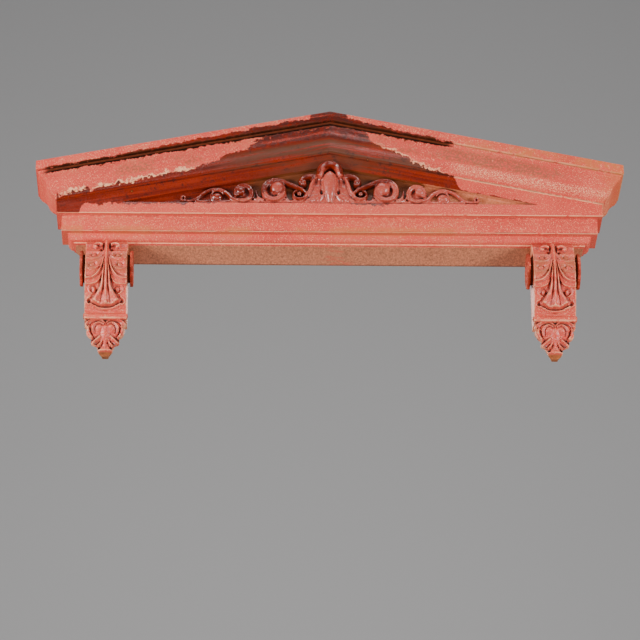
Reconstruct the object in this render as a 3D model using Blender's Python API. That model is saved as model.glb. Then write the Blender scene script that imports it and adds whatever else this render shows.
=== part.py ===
"""Painted cast-iron window pediment: a hollow moulded hood with a low gable, an applied
scroll ornament in its tympanum and two leaf-carved consoles under its ends.

Frame: metres, +Z up, the wall is the plane Y = 0 and the front faces -Y. The origin is on
the wall, on the centre line, half way up the flange along the foot of the hood. The
functions below count heights from the lower edge of the hood, and main() sets them down.
"""
import math

import bmesh
import bpy
from mathutils import Vector

# Hood, plan and gable
OVERALL_WIDTH = 1.500
RAKE_ANGLE = math.radians(11.5)
WALL = 0.006
GAP = 0.0003

# Hood mouldings, as steps out from the wall and up, from the lower edge to the crown
SOFFIT_OUT = 0.044
SOFFIT_UP = 0.033
BED_STEP = 0.003
BED_STEP_UP = 0.0045
BED_OUT = 0.015
BED_UP = 0.018
FRIEZE_OUT = 0.016
FRIEZE_UP = 0.0445
BAND_OUT = 0.013
BAND_UP = 0.034
FILLET_OUT = 0.004
FILLET_UP = 0.008
CYMA_OUT = 0.041
CYMA_UP = 0.042
CYMA_SWELL = 0.10
LISTEL_UP = 0.0035
BEAD_RADIUS = 0.004
CROWN_OUT = 0.008
CROWN_UP = 0.025

# Tympanum, sunk between the flat bands
FLOOR_BAND = 0.033
RAKE_BAND = 0.034
TYMPANUM_RECESS = 0.014

# Fixing flange round the open back
FLANGE = 0.040
BOLT_HOLE = 0.011
RAKE_BOLTS = (0.18, 0.52)
FOOT_BOLTS = (0.18, 0.42)

# Scroll ornament, drawn to a reach and a height that its places below are given in
ORNAMENT_MARGIN = 0.146
DRAWN_REACH = 0.385
DRAWN_HEIGHT = 0.108
ORNAMENT_RELIEF = 0.030
ARCH_REACH = 0.035
ARCH_SPRING = 0.091

# Consoles
CONSOLE_INSET = 0.039
CONSOLE_WIDTH = 0.107
CONSOLE_DROP = 0.271
CONSOLE_DEPTH = 0.101
CARVING = 0.010
BAND_STEP = 0.003
CONSOLE_WALL = 0.009
EAR_RADIUS = 0.046
EAR_THICKNESS = 0.008
EAR_NECK = 0.006
EAR_OUT = 0.052
EAR_DOWN = 0.041

RAKE = math.tan(RAKE_ANGLE)


def clear_scene():
    for thing in list(bpy.data.objects):
        bpy.data.objects.remove(thing, do_unlink=True)


def material(name, colour, roughness, metallic=0.0):
    paint = bpy.data.materials.new(name)
    paint.use_nodes = True
    shader = paint.node_tree.nodes["Principled BSDF"]
    shader.inputs["Base Color"].default_value = (*colour, 1.0)
    shader.inputs["Roughness"].default_value = roughness
    shader.inputs["Metallic"].default_value = metallic
    return paint


def new_object(name, mesh_builder, paint=None, smooth_angle=32.0):
    """Turn a bmesh into an object with outward faces and smooth shading on its curves."""
    bmesh.ops.recalc_face_normals(mesh_builder, faces=mesh_builder.faces)
    mesh = bpy.data.meshes.new(name)
    mesh_builder.to_mesh(mesh)
    mesh_builder.free()
    mesh.shade_smooth()
    mesh.set_sharp_from_angle(angle=math.radians(smooth_angle))
    if paint:
        mesh.materials.append(paint)
    thing = bpy.data.objects.new(name, mesh)
    bpy.context.scene.collection.objects.link(thing)
    return thing


def as_cutter(thing):
    thing.hide_render = True
    thing.display_type = "WIRE"
    thing.hide_set(True)
    return thing


def boolean(target, operand, operation):
    cut = target.modifiers.new(operand.name, "BOOLEAN")
    cut.operation = operation
    cut.solver = "EXACT"
    cut.object = operand
    as_cutter(operand)


def loft(rows):
    """Closed solid through loops of equal length, with a cap at each end."""
    solid = bmesh.new()
    loops = [[solid.verts.new(point) for point in row] for row in rows]
    count = len(rows[0])
    for lower, upper in zip(loops, loops[1:]):
        for index in range(count):
            after = (index + 1) % count
            solid.faces.new((lower[index], lower[after], upper[after], upper[index]))
    solid.faces.new(list(reversed(loops[0])))
    solid.faces.new(loops[-1])
    return solid


def prism(outline, front, back):
    """Solid with an outline in X and Z, between two depths in Y."""
    return loft([[(x, depth, z) for x, z in outline] for depth in (front, back)])


def blend(table, value):
    """Smooth value between the knots of a short table of (place, size) pairs."""
    if value <= table[0][0]:
        return table[0][1]
    for (a, low), (b, high) in zip(table, table[1:]):
        if value <= b:
            share = (value - a) / (b - a)
            share = share * share * (3 - 2 * share)
            return low + (high - low) * share
    return table[-1][1]


def bump(distance, radius):
    """Round hill of height 1 that reaches zero at its radius."""
    share = abs(distance) / radius
    return (1 - share * share) ** 2 if share < 1 else 0.0


# Hood

def arc_points(centre, radius, start, end, steps):
    return [(centre[0] + radius * math.cos(start + (end - start) * i / steps),
             centre[1] + radius * math.sin(start + (end - start) * i / steps))
            for i in range(steps + 1)]


def moulding():
    """Profile as (out from wall, height): level part below, raking part above."""
    level = [(WALL, 0.0), (SOFFIT_OUT, SOFFIT_UP)]
    out = SOFFIT_OUT + BED_STEP
    up = SOFFIT_UP + BED_STEP_UP
    level += [(out, SOFFIT_UP), (out, up)]
    for step in range(1, 5):
        turn = math.radians(90 * step / 4)
        level.append((out + BED_OUT * math.sin(turn), up + BED_UP * (1 - math.cos(turn))))
    out += BED_OUT + FRIEZE_OUT
    up += BED_UP
    level += [(out, up), (out, up + FRIEZE_UP)]
    out += BAND_OUT
    up += FRIEZE_UP
    level.append((out, up))
    raking = [(out, up + BAND_UP)]
    out += FILLET_OUT
    up += BAND_UP
    raking += [(out, up), (out, up + FILLET_UP)]
    up += FILLET_UP
    for step in range(1, 9):
        rise = step / 8
        swell = rise + CYMA_SWELL * math.sin(2 * math.pi * rise)
        raking.append((out + CYMA_OUT * swell, up + CYMA_UP * rise))
    out += CYMA_OUT
    up += CYMA_UP + LISTEL_UP
    raking.append((out, up))
    raking += arc_points((out, up + BEAD_RADIUS), BEAD_RADIUS,
                         math.radians(-60), math.radians(60), 4)
    up += 2 * BEAD_RADIUS
    raking.append((out, up))
    out += CROWN_OUT
    raking += [(out, up), (out, up + CROWN_UP)]
    return level, raking


def shell_profile():
    """The wall's inner face: the main corners of the moulding, set in by the wall."""
    level, raking = moulding()
    corners = [level[0], level[1], level[3]] + level[-4:] + [raking[0], raking[2]]
    corners += [raking[5], raking[8], raking[10], raking[-3], raking[-2], raking[-1]]
    split = 7
    inner = []
    for index, corner in enumerate(corners):
        before = Vector(corners[max(index - 1, 0)])
        here = Vector(corner)
        after = Vector(corners[min(index + 1, len(corners) - 1)])
        incoming = (here - before).normalized() if index else (after - here).normalized()
        outgoing = (after - here).normalized() if index < len(corners) - 1 else incoming
        side_in = Vector((-incoming.y, incoming.x))
        side_out = Vector((-outgoing.y, outgoing.x))
        mitre = side_in + side_out
        inner.append(here + mitre * (WALL / max(mitre.dot(side_in), 0.35)))
    inner[0] = inner[1] + (inner[0] - inner[1]) * 0.75
    inner[-1] = inner[-1] - Vector((0.0, WALL / math.cos(RAKE_ANGLE)))
    return inner[:split], inner[split:]


def course(out, up, raking, back):
    """One line of the moulding: wall, mitre, centre, mitre and wall again."""
    half = OVERALL_WIDTH / 2 - crown_reach() + out
    peak = up + half * RAKE if raking else up
    return [(-half, back, up), (-half, -out, up), (0.0, -out, peak), (half, -out, up),
            (half, back, up)]


def crown_reach():
    return moulding()[1][-1][0]


def hood_solid(level, raking, back):
    """Mitred solid between the moulding and a flat back, under a two-sided roof."""
    rows = [course(out, up, False, back) for out, up in level]
    rows += [course(out, up, True, back) for out, up in raking]
    solid = bmesh.new()
    loops = [[solid.verts.new(point) for point in row] for row in rows]
    for lower, upper in zip(loops, loops[1:]):
        for index in range(4):
            solid.faces.new((lower[index], lower[index + 1], upper[index + 1], upper[index]))
    roof = loops[-1]
    ridge = solid.verts.new((0.0, back, rows[-1][2][2]))
    solid.faces.new((roof[0], roof[1], roof[2], ridge))
    solid.faces.new((roof[2], roof[3], roof[4], ridge))
    solid.faces.new(list(reversed(loops[0])))
    left = [loop[0] for loop in loops]
    right = [loop[-1] for loop in loops]
    solid.faces.new(left + [ridge] + list(reversed(right)))
    return solid


def band_face():
    """How far the flat bands round the tympanum stand out from the wall."""
    return moulding()[1][0][0]


def tympanum_floor():
    """Height of the ledge that the scrollwork stands on."""
    return moulding()[0][-1][1] + FLOOR_BAND


def tympanum_outline(grow=0.0):
    """Triangle of the tympanum, grown outwards on all sides by a margin."""
    out, up = moulding()[1][0]
    half = OVERALL_WIDTH / 2 - crown_reach() + out
    peak = up + half * RAKE - RAKE_BAND / math.cos(RAKE_ANGLE) + grow / math.cos(RAKE_ANGLE)
    floor = tympanum_floor() - grow
    reach = (peak - floor) / RAKE
    return [(-reach, floor), (reach, floor), (0.0, peak)]


def flange_opening():
    level, raking = moulding()
    half = OVERALL_WIDTH / 2 - FLANGE
    shoulder = raking[-1][1] - FLANGE
    foot = half - crown_reach() + level[0][0]
    return [(-foot, foot_flange()), (foot, foot_flange()), (half - crown_reach() / 3, shoulder),
            (0.0, shoulder + (half - crown_reach() / 3) * RAKE),
            (-half + crown_reach() / 3, shoulder)]


def foot_flange():
    """Height of the flange along the foot, where the origin lies."""
    return FLANGE - WALL


def bolt_places():
    places = []
    top = moulding()[1][-1][1]
    for side in (-1, 1):
        for across in RAKE_BOLTS:
            height = top + (OVERALL_WIDTH / 2 - across) * RAKE - FLANGE / 2
            places.append((side * across, height))
        for across in FOOT_BOLTS:
            places.append((side * across, foot_flange() / 2))
    return places


def bolt_cutter():
    holes = bmesh.new()
    for across, height in bolt_places():
        made = bmesh.ops.create_cone(holes, cap_ends=True, segments=8, depth=4 * WALL,
                                     radius1=BOLT_HOLE / 2, radius2=BOLT_HOLE / 2)
        for vertex in made["verts"]:
            x, y, z = vertex.co
            vertex.co = (x + across, z, y + height)
    return new_object("bolt_holes", holes)


def make_hood(paint):
    level, raking = moulding()
    hood = new_object("pediment_hood", hood_solid(level, raking, 0.0), paint)
    face = band_face()
    recess = prism(tympanum_outline(), -face - 0.02, -face + TYMPANUM_RECESS)
    boolean(hood, new_object("recess", recess), "DIFFERENCE")
    inner_level, inner_raking = shell_profile()
    hollow = new_object("hollow", hood_solid(inner_level, inner_raking, -WALL))
    pocket = prism(tympanum_outline(WALL), -face - 0.02, -face + TYMPANUM_RECESS + WALL)
    boolean(hollow, new_object("recess_back", pocket), "DIFFERENCE")
    boolean(hood, hollow, "DIFFERENCE")
    opening = prism(flange_opening(), -WALL * 1.5, 0.02)
    boolean(hood, new_object("back_opening", opening), "DIFFERENCE")
    boolean(hood, bolt_cutter(), "DIFFERENCE")
    return hood


# Scroll ornament: across from the centre line, height over the floor, relief off the panel

def panel_depth():
    return band_face() - TYMPANUM_RECESS


def on_panel(across, height, relief):
    """Point of the scrollwork, stretched from its drawn size to fit the tympanum."""
    corner, _, peak = tympanum_outline()
    spread = (-corner[0] - ORNAMENT_MARGIN) / DRAWN_REACH
    lift = (peak[1] - corner[1]) / DRAWN_HEIGHT
    return Vector((across * spread, -panel_depth() - relief, corner[1] + height * lift))


def ribbon(path, widths, reliefs, sides=3):
    """Round-backed band along a path on the panel."""
    rows = []
    for index, (across, height) in enumerate(path):
        before = Vector(path[max(index - 1, 0)])
        after = Vector(path[min(index + 1, len(path) - 1)])
        along = (after - before).normalized()
        side = Vector((-along.y, along.x))
        row = []
        for step in range(sides + 1):
            turn = math.pi * step / sides
            shift = side * math.cos(turn) * widths[index]
            relief = GAP + FILLET_OUT / 4 + math.sin(turn) * reliefs[index]
            row.append(on_panel(across + shift.x, height + shift.y, relief))
        for shift in (-side * widths[index], side * widths[index]):
            row.append(on_panel(across + shift.x, height + shift.y, GAP))
        rows.append(row)
    return loft(rows)


def spiral(centre, outer, inner, start, turns, steps):
    """Points of a volute that winds in about its centre."""
    path = []
    for step in range(steps + 1):
        share = step / steps
        radius = outer + (inner - outer) * share
        turn = start + turns * 2 * math.pi * share
        path.append((centre[0] + radius * math.cos(turn), centre[1] + radius * math.sin(turn)))
    return path


def taper(first, last, count):
    return [first + (last - first) * i / (count - 1) for i in range(count)]


def knob(centre, radius, relief, squash=1.0, segments=8):
    """Domed ball that stands on the panel."""
    ball = bmesh.new()
    bmesh.ops.create_uvsphere(ball, u_segments=segments, v_segments=segments // 2,
                              radius=1.0)
    for vertex in ball.verts:
        x, y, z = vertex.co
        height = relief - radius * 0.7 * (1 - z)
        if z < -0.1:
            height = GAP
            spread = max(math.hypot(x, y), 0.1)
            x, y = x / spread, y / spread
        vertex.co = on_panel(centre[0] + x * radius, centre[1] + y * radius * squash, height)
    return ball


def curve_through(knots, steps):
    """Smooth path through a few chosen points."""
    points = []
    count = len(knots) - 1
    for piece in range(count):
        p0 = Vector(knots[max(piece - 1, 0)])
        p1 = Vector(knots[piece])
        p2 = Vector(knots[piece + 1])
        p3 = Vector(knots[min(piece + 2, count)])
        for step in range(steps):
            t = step / steps
            point = 0.5 * ((2 * p1) + (p2 - p0) * t + (2 * p0 - 5 * p1 + 4 * p2 - p3) * t * t
                           + (3 * p1 - p0 - 3 * p2 + p3) * t ** 3)
            points.append((point.x, point.y))
    points.append(tuple(knots[-1]))
    return points


def scroll_unit(side, centre, radius, ball, ball_radius, relief, sweep):
    """Volute ring with a ball in its eye."""
    path = spiral(centre, radius * 0.84, radius * 0.60, sweep[0], sweep[1], 11)
    path = [(side * x, z) for x, z in path]
    widths = taper(radius * 0.17, radius * 0.26, len(path))
    reliefs = taper(relief * 0.75, relief, len(path))
    return [ribbon(path, widths, reliefs, 4),
            knob((side * ball[0], ball[1]), ball_radius, relief * 1.25)]


def ornament_side(side):
    """Half of the scrollwork, from the volutes beside the cartouche to the last curl."""
    solids = []
    relief = ORNAMENT_RELIEF
    volute = curve_through([(0.059, 0.034), (0.051, 0.048), (0.052, 0.063),
                            (0.060, 0.075), (0.071, 0.078), (0.081, 0.071),
                            (0.083, 0.060), (0.076, 0.052), (0.067, 0.0545)], 2)
    volute = [(side * x, z) for x, z in volute]
    solids.append(ribbon(volute, taper(0.0052, 0.0030, len(volute)),
                         taper(relief * 0.62, relief * 0.55, len(volute))))
    solids.append(knob((side * 0.069, 0.0625), 0.0095, relief * 0.64))
    arm = curve_through([(0.148, 0.0675), (0.128, 0.0665), (0.104, 0.056),
                         (0.082, 0.045), (0.065, 0.034), (0.061, 0.023),
                         (0.069, 0.014), (0.082, 0.012), (0.092, 0.019),
                         (0.092, 0.030), (0.084, 0.034)], 2)
    arm = [(side * x, z) for x, z in arm]
    solids.append(ribbon(arm, taper(0.0056, 0.0026, len(arm)),
                         taper(relief * 0.52, relief * 0.60, len(arm))))
    solids.append(knob((side * 0.0790, 0.0250), 0.0090, relief * 0.62))
    solids += scroll_unit(side, (0.144, 0.0365), 0.035, (0.136, 0.045), 0.0190,
                          relief * 0.62, (math.radians(84), -0.80))
    solids.append(ribbon([(side * x, z) for x, z in curve_through(
        [(0.106, 0.004), (0.118, 0.012), (0.121, 0.030)], 2)],
        taper(0.006, 0.002, 5), taper(relief * 0.33, relief * 0.2, 5)))
    tongue = curve_through([(0.170, 0.010), (0.184, 0.018), (0.190, 0.040)], 2)
    solids.append(ribbon([(side * x, z) for x, z in tongue],
                         taper(0.010, 0.002, len(tongue)),
                         taper(relief * 0.43, relief * 0.2, len(tongue))))
    solids += scroll_unit(side, (0.222, 0.029), 0.028, (0.229, 0.034), 0.0115,
                          relief * 0.58, (math.radians(-50), -0.95))
    leaf = curve_through([(0.204, 0.010), (0.245, 0.012), (0.262, 0.030),
                          (0.288, 0.042), (0.318, 0.034), (0.342, 0.014),
                          (0.360, 0.008), (0.377, 0.010)], 2)
    leaf = [(side * x, z) for x, z in leaf]
    solids.append(ribbon(leaf, taper(0.0060, 0.0038, len(leaf)),
                         taper(relief * 0.45, relief * 0.25, len(leaf))))
    solids.append(knob((side * 0.289, 0.0195), 0.0150, relief * 0.50, 0.80))
    low = curve_through([(0.255, 0.006), (0.300, 0.006), (0.345, 0.007)], 1)
    solids.append(ribbon([(side * x, z) for x, z in low], taper(0.0070, 0.0055, len(low)),
                         taper(relief * 0.23, relief * 0.2, len(low))))
    curl = spiral((0.374, 0.016), 0.0075, 0.003, math.radians(-90), 0.9, 7)
    solids.append(ribbon([(side * x, z) for x, z in curl], taper(0.0035, 0.0025, 8),
                         taper(relief * 0.30, relief * 0.36, 8)))
    foot = curve_through([(0.070, 0.007), (0.120, 0.0065), (0.200, 0.006),
                          (0.260, 0.006)], 1)
    solids.append(ribbon([(side * x, z) for x, z in foot], taper(0.0068, 0.0058, len(foot)),
                         taper(relief * 0.30, relief * 0.23, len(foot))))
    return solids


def mound(outline, depths, edge_share, sides):
    """Rounded mass lofted up the panel from half widths and depths at each height."""
    rows = []
    for (height, half), depth in zip(outline, depths):
        row = []
        for step in range(sides + 1):
            turn = math.pi * step / sides
            swell = edge_share + (1 - edge_share) * math.sin(turn) ** 0.8
            row.append(on_panel(half * math.cos(turn), height, depth * swell))
        row += [on_panel(-half, height, GAP), on_panel(half, height, GAP)]
        rows.append(row)
    return loft(rows)


def cartouche():
    """Arched hood over a long tapering boss on a spreading body."""
    relief = ORNAMENT_RELIEF
    boss = [(0.002, 0.006), (0.012, 0.011), (0.030, 0.016), (0.048, 0.019), (0.066, 0.020),
            (0.080, 0.019), (0.091, 0.014), (0.097, 0.005)]
    depths = [relief * (0.55 + 0.5 * math.sin(math.pi * min(height / 0.097, 1.0) * 0.72))
              for height, _ in boss]
    body = [(0.001, 0.088), (0.008, 0.078), (0.016, 0.063), (0.026, 0.055), (0.040, 0.049),
            (0.056, 0.047), (0.068, 0.051), (0.078, 0.049), (0.085, 0.036)]
    solids = [mound(body, [relief * 0.46] * len(body), 0.45, 5), mound(boss, depths, 0.3, 7)]
    band = ARCH_REACH * 0.30
    centre_line = ARCH_REACH - band
    arch = [(centre_line * math.cos(math.radians(a)),
             ARCH_SPRING + centre_line * 0.84 * math.sin(math.radians(a)))
            for a in range(-20, 201, 20)]
    foot = ARCH_SPRING - centre_line * 0.75
    arch = [(centre_line * 1.2, foot)] + arch + [(-centre_line * 1.2, foot)]
    solids.append(ribbon(arch, [band] * len(arch), [relief] * len(arch), 4))
    return solids


def make_ornament(paint):
    solids = cartouche()
    for side in (-1, 1):
        solids += ornament_side(side)
    ornament = new_object("tympanum_ornament", solids[0], paint, 50.0)
    for index, solid in enumerate(solids[1:]):
        boolean(ornament, new_object("scroll_%02d" % index, solid), "UNION")
    face = -band_face() - GAP
    floor = tympanum_floor() + GAP
    reach = OVERALL_WIDTH / 2
    below = prism([(-reach, 0.0), (reach, 0.0), (reach, floor), (-reach, floor)],
                  -crown_reach(), 0.0)
    boolean(ornament, new_object("floor_side", below), "DIFFERENCE")
    peak = tympanum_outline(-2 * GAP)[2][1]
    span = 3 * ARCH_REACH
    rafters = prism([(-span, peak - span * RAKE), (0.0, peak), (span, peak - span * RAKE),
                     (span, peak + span), (-span, peak + span)], face, 0.02)
    boolean(ornament, new_object("rafters", rafters), "DIFFERENCE")
    return ornament


# Consoles: share of the half width across, and share of the drop below the hood's edge

PANEL_PROFILE = [(-0.13, 0.61), (-0.05, 0.77), (0.05, 0.90), (0.15, 0.98), (0.25, 1.00),
                 (0.35, 0.96), (0.45, 0.86), (0.55, 0.74), (0.62, 0.61), (0.69, 0.56)]
DROP_PROFILE = [(0.69, 0.51), (0.75, 0.51), (0.82, 0.44), (0.90, 0.34), (0.955, 0.30),
                (1.0, 0.16)]
DROP_OUTLINE = [(0.69, 0.74), (0.735, 0.97), (0.778, 0.74), (0.82, 0.88), (0.862, 0.60),
                (0.902, 0.63), (0.932, 0.34), (0.962, 0.38), (1.0, 0.16)]
STEM_HALF = [(-0.12, 0.13), (0.10, 0.10), (0.25, 0.12), (0.36, 0.18), (0.45, 0.33),
             (0.52, 0.62), (0.556, 0.74)]
UPPER_LOBE_EDGE = [(0.0, 0.10), (0.20, 0.235), (0.38, 0.345), (0.60, 0.380), (1.0, 0.355)]
LOWER_LOBE_EDGE = [(0.0, 0.30), (0.40, 0.475), (0.62, 0.495), (1.0, 0.445)]
LOBE_TOP = 0.0
STEM_FOOT = 0.556
BAND_TOP = 0.640
BAND_FOOT = 0.690
EDGE_BEVEL = 0.006


def stem_relief(across, down):
    half = blend(STEM_HALF, down)
    if down > STEM_FOOT or across > half:
        return 0.0
    share = across / half
    flare = blend([(0.30, 0.0), (0.54, 1.0)], down)
    flutes = 0.5 + 0.5 * math.cos(2.5 * math.pi * share * (0.4 + 0.6 * flare))
    lip = blend([(0.48, 0.0), (0.54, 1.0)], down)
    return CARVING * (0.9 * math.sqrt(1 - share ** 2) + 0.35 * flutes + 0.6 * lip + 0.2)


def lobe_relief(across, down, edge, body, lip):
    """Leaf lobe that swells to a rolled lower edge."""
    inside = blend(edge, across) - down
    if inside < 0 or down < LOBE_TOP:
        return 0.0
    rise = min((down - LOBE_TOP) / 0.06, 1.0)
    hollow = bump(across - 0.55, 0.40) * bump(inside - 0.13, 0.12)
    return CARVING * rise * (body + lip * bump(inside - 0.022, 0.055) - 0.3 * hollow)


def berry_relief(across, down):
    spread = math.hypot((across - 0.57) * 0.5, (down - 0.424) * 1.2)
    return CARVING * 0.8 * bump(spread, 0.060)


def panel_relief(across, down):
    upper = lobe_relief(across, down, UPPER_LOBE_EDGE, 0.50, 0.85)
    lower = lobe_relief(across, down, LOWER_LOBE_EDGE, 0.20, 0.30)
    relief = max(stem_relief(across, down), upper, lower)
    if not upper:
        relief = max(relief, lower + berry_relief(across, down))
    curl = math.hypot((across - 0.40) * 0.9, (down + 0.03) * 4.5)
    relief = max(relief, CARVING * 1.1 * bump(curl, 0.36))
    hole = math.hypot(across - 0.27, (down - 0.030) * 4.5)
    relief -= CARVING * 0.6 * bump(hole, 0.20)
    bud = math.hypot(across * 0.5, (down - 0.595) * 2.2)
    return relief + CARVING * 0.5 * bump(bud, 0.10)


def drop_relief(across, down):
    """Pendant leaf: rims along the lobes, a smooth middle and a boss at the tip."""
    rim = bump(across - 0.78, 0.26)
    veins = 0.5 + 0.5 * math.cos(3 * math.pi * across)
    middle = bump(across, 0.55)
    boss = bump(down - 0.962, 0.035)
    notch = blend([(0.69, 0.0), (0.76, 1.0)], down)
    return CARVING * (0.6 * rim + 0.2 * veins * notch + 0.4 * middle + 0.6 * boss)


def panel_lines():
    """Lines across the panel that follow its leaves, each a table of down against across."""
    highest = -(SOFFIT_UP - 2 * GAP) / CONSOLE_DROP

    def level(down):
        return lambda across: down

    def beside(edge, shift):
        return lambda across: blend(edge, across) + shift

    keys = [(level(highest), 3), (level(LOBE_TOP), 4),
            (beside(UPPER_LOBE_EDGE, -0.002), 1), (beside(UPPER_LOBE_EDGE, EDGE_BEVEL), 2),
            (beside(LOWER_LOBE_EDGE, -0.002), 1), (beside(LOWER_LOBE_EDGE, EDGE_BEVEL), 2),
            (level(STEM_FOOT - 0.001), 1), (level(STEM_FOOT + EDGE_BEVEL), 2),
            (level(BAND_TOP), 0)]
    lines = []
    for (first, steps), (second, _) in zip(keys, keys[1:]):
        for step in range(steps):
            share = step / steps
            lines.append(lambda across, first=first, second=second, share=share:
                         first(across) * (1 - share) + second(across) * share)
    lines.append(keys[-1][0])
    return lines


def panel_columns(line):
    """Places across one half, set close on both sides of the stem's edge."""
    across = 0.2
    for _ in range(8):
        across = blend(STEM_HALF, min(line(across), STEM_FOOT))
    inner = [0.0, across * 0.5, across * 0.96, min(across * 1.08 + 0.01, 0.86)]
    rest = [inner[-1] + (1.0 - inner[-1]) * step / 4 for step in range(1, 5)]
    return inner + rest


def slice_outline(edge, core, front, depths, height, heights):
    """One closed loop round the console, from the wall over the front and back."""
    back = 0.0
    if height > -GAP:
        back = WALL + (height + 2 * GAP) * (SOFFIT_OUT - WALL) / SOFFIT_UP
    wing = min(0.012, front * 0.4)
    side = [(core, back), (core, front - wing), (edge, front - wing * 0.75)]
    loop = [(-x, -out, height) for x, out in side]
    loop += [(x, -out, z) for (x, out), z in zip(depths, heights)]
    loop += [(x, -out, height) for x, out in reversed(side)]
    return loop


def panel_row(line):
    half = CONSOLE_WIDTH / 2
    places = panel_columns(line)
    places = [-place for place in reversed(places[1:])] + places
    depths = []
    heights = []
    for place in places:
        down = line(abs(place))
        out = CONSOLE_DEPTH * blend(PANEL_PROFILE, down)
        if abs(place) < 1:
            out += panel_relief(abs(place), down)
        depths.append((place * half, out))
        heights.append(-CONSOLE_DROP * down)
    flank = CONSOLE_DEPTH * blend(PANEL_PROFILE, line(1.0))
    return slice_outline(half, half, flank, depths, -CONSOLE_DROP * line(1.0), heights)


def plain_row(down, edge, core, front, shape, count):
    places = [-1 + 2 * i / (count - 1) for i in range(count)]
    depths = [(place * edge, front + shape(abs(place), down) * (abs(place) < 1))
              for place in places]
    height = -CONSOLE_DROP * down
    return slice_outline(edge, core, front, depths, height, [height] * count)


def console_body():
    rows = [panel_row(line) for line in panel_lines()]
    count = 15
    half = CONSOLE_WIDTH / 2
    for down in (BAND_TOP + 0.010, BAND_TOP + 0.018, BAND_FOOT - 0.014, BAND_FOOT - 0.006):
        front = CONSOLE_DEPTH * blend(PANEL_PROFILE, BAND_TOP) + BAND_STEP
        rows.append(plain_row(down, half + BAND_STEP, half, front, lambda across, at: 0.0,
                              count))
    knots = [down for down, _ in DROP_OUTLINE]
    downs = [BAND_FOOT]
    for first, second in zip(knots, knots[1:]):
        downs += [(first + second) / 2, second]
    for down in downs:
        edge = half * blend(DROP_OUTLINE, down)
        rows.append(plain_row(down, edge, min(edge * 0.86, half * 0.7),
                              CONSOLE_DEPTH * blend(DROP_PROFILE, down), drop_relief, count))
    return loft(list(reversed(rows)))


def console_hollow():
    """Room inside the console, open to the wall."""
    half = CONSOLE_WIDTH / 2 - CONSOLE_WALL
    first = 0.06
    rows = []
    for step in range(5):
        down = first + (BAND_FOOT - 0.03 - first) * step / 4
        front = CONSOLE_DEPTH * blend(PANEL_PROFILE, down) - CONSOLE_WALL
        rows.append([(x, -out, -CONSOLE_DROP * down) for x, out in
                     [(-half, -0.01), (-half, front - 0.01), (-half * 0.8, front),
                      (half * 0.8, front), (half, front - 0.01), (half, -0.01)]])
    return loft(list(reversed(rows)))


def ear(side):
    """Scrolled disc on the flank: a neck, a rim and a raised eye."""
    start = CONSOLE_WIDTH / 2 - CONSOLE_WALL / 2
    neck = CONSOLE_WIDTH / 2 + EAR_NECK
    face = neck + EAR_THICKNESS
    turned = [(start, EAR_RADIUS - 0.010), (neck, EAR_RADIUS - 0.010), (neck, EAR_RADIUS),
              (face - 0.002, EAR_RADIUS), (face, EAR_RADIUS - 0.003),
              (face, EAR_RADIUS - 0.009), (face - 0.003, EAR_RADIUS - 0.012),
              (face - 0.003, 0.014), (face, 0.010)]
    rows = []
    for across, radius in turned:
        rows.append([(side * across, -EAR_OUT + radius * math.cos(2 * math.pi * i / 18),
                      -EAR_DOWN + radius * math.sin(2 * math.pi * i / 18))
                     for i in range(18)])
    return loft(rows)


def make_console(name, centre, paint):
    console = new_object(name, console_body(), paint, 40.0)
    pieces = [console]
    for side, label in ((-1, "left"), (1, "right")):
        disc = new_object(name + "_ear_" + label, ear(side))
        boolean(console, disc, "UNION")
        pieces.append(disc)
    hollow = new_object(name + "_hollow", console_hollow())
    boolean(console, hollow, "DIFFERENCE")
    pieces.append(hollow)
    for thing in pieces:
        thing.location.x = centre
    return console


def main():
    clear_scene()
    hood_paint = material("hood_paint", (0.60, 0.22, 0.16), 0.55)
    scroll_paint = material("scroll_paint", (0.32, 0.05, 0.02), 0.35)
    console_paint = material("console_paint", (0.62, 0.25, 0.20), 0.50)
    make_hood(hood_paint)
    make_ornament(scroll_paint)
    centre = OVERALL_WIDTH / 2 - crown_reach() - CONSOLE_INSET
    make_console("console_left", -centre, console_paint)
    make_console("console_right", centre, console_paint)
    for thing in bpy.data.objects:
        thing.location.z = -foot_flange() / 2


main()
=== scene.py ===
"""Looks of a painted cast-iron window pediment: hood, tympanum scrollwork and consoles.

Metres, +Z up, the wall is the plane Y = 0 and the front faces -Y.
"""
import math

import bmesh
import bpy
import numpy as np
from mathutils import Matrix, Vector, noise


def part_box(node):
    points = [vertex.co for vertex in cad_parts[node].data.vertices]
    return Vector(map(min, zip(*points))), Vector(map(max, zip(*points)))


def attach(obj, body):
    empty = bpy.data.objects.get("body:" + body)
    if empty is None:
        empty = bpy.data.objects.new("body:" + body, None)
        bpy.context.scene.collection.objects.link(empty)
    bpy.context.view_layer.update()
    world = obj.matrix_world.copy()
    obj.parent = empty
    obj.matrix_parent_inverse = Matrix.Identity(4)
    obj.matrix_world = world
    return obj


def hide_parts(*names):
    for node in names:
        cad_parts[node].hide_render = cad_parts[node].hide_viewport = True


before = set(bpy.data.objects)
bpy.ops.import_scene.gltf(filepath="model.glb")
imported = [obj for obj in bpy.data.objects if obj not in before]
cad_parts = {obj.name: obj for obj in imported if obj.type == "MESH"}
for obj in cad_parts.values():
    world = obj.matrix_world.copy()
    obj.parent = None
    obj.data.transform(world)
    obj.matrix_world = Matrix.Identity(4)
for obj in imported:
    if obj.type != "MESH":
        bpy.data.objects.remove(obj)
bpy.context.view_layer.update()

HOOD_LOW, HOOD_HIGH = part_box("pediment_hood")
SCROLL_LOW, SCROLL_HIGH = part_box("tympanum_ornament")
CONSOLE_LOW, CONSOLE_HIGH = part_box("console_right")

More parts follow.
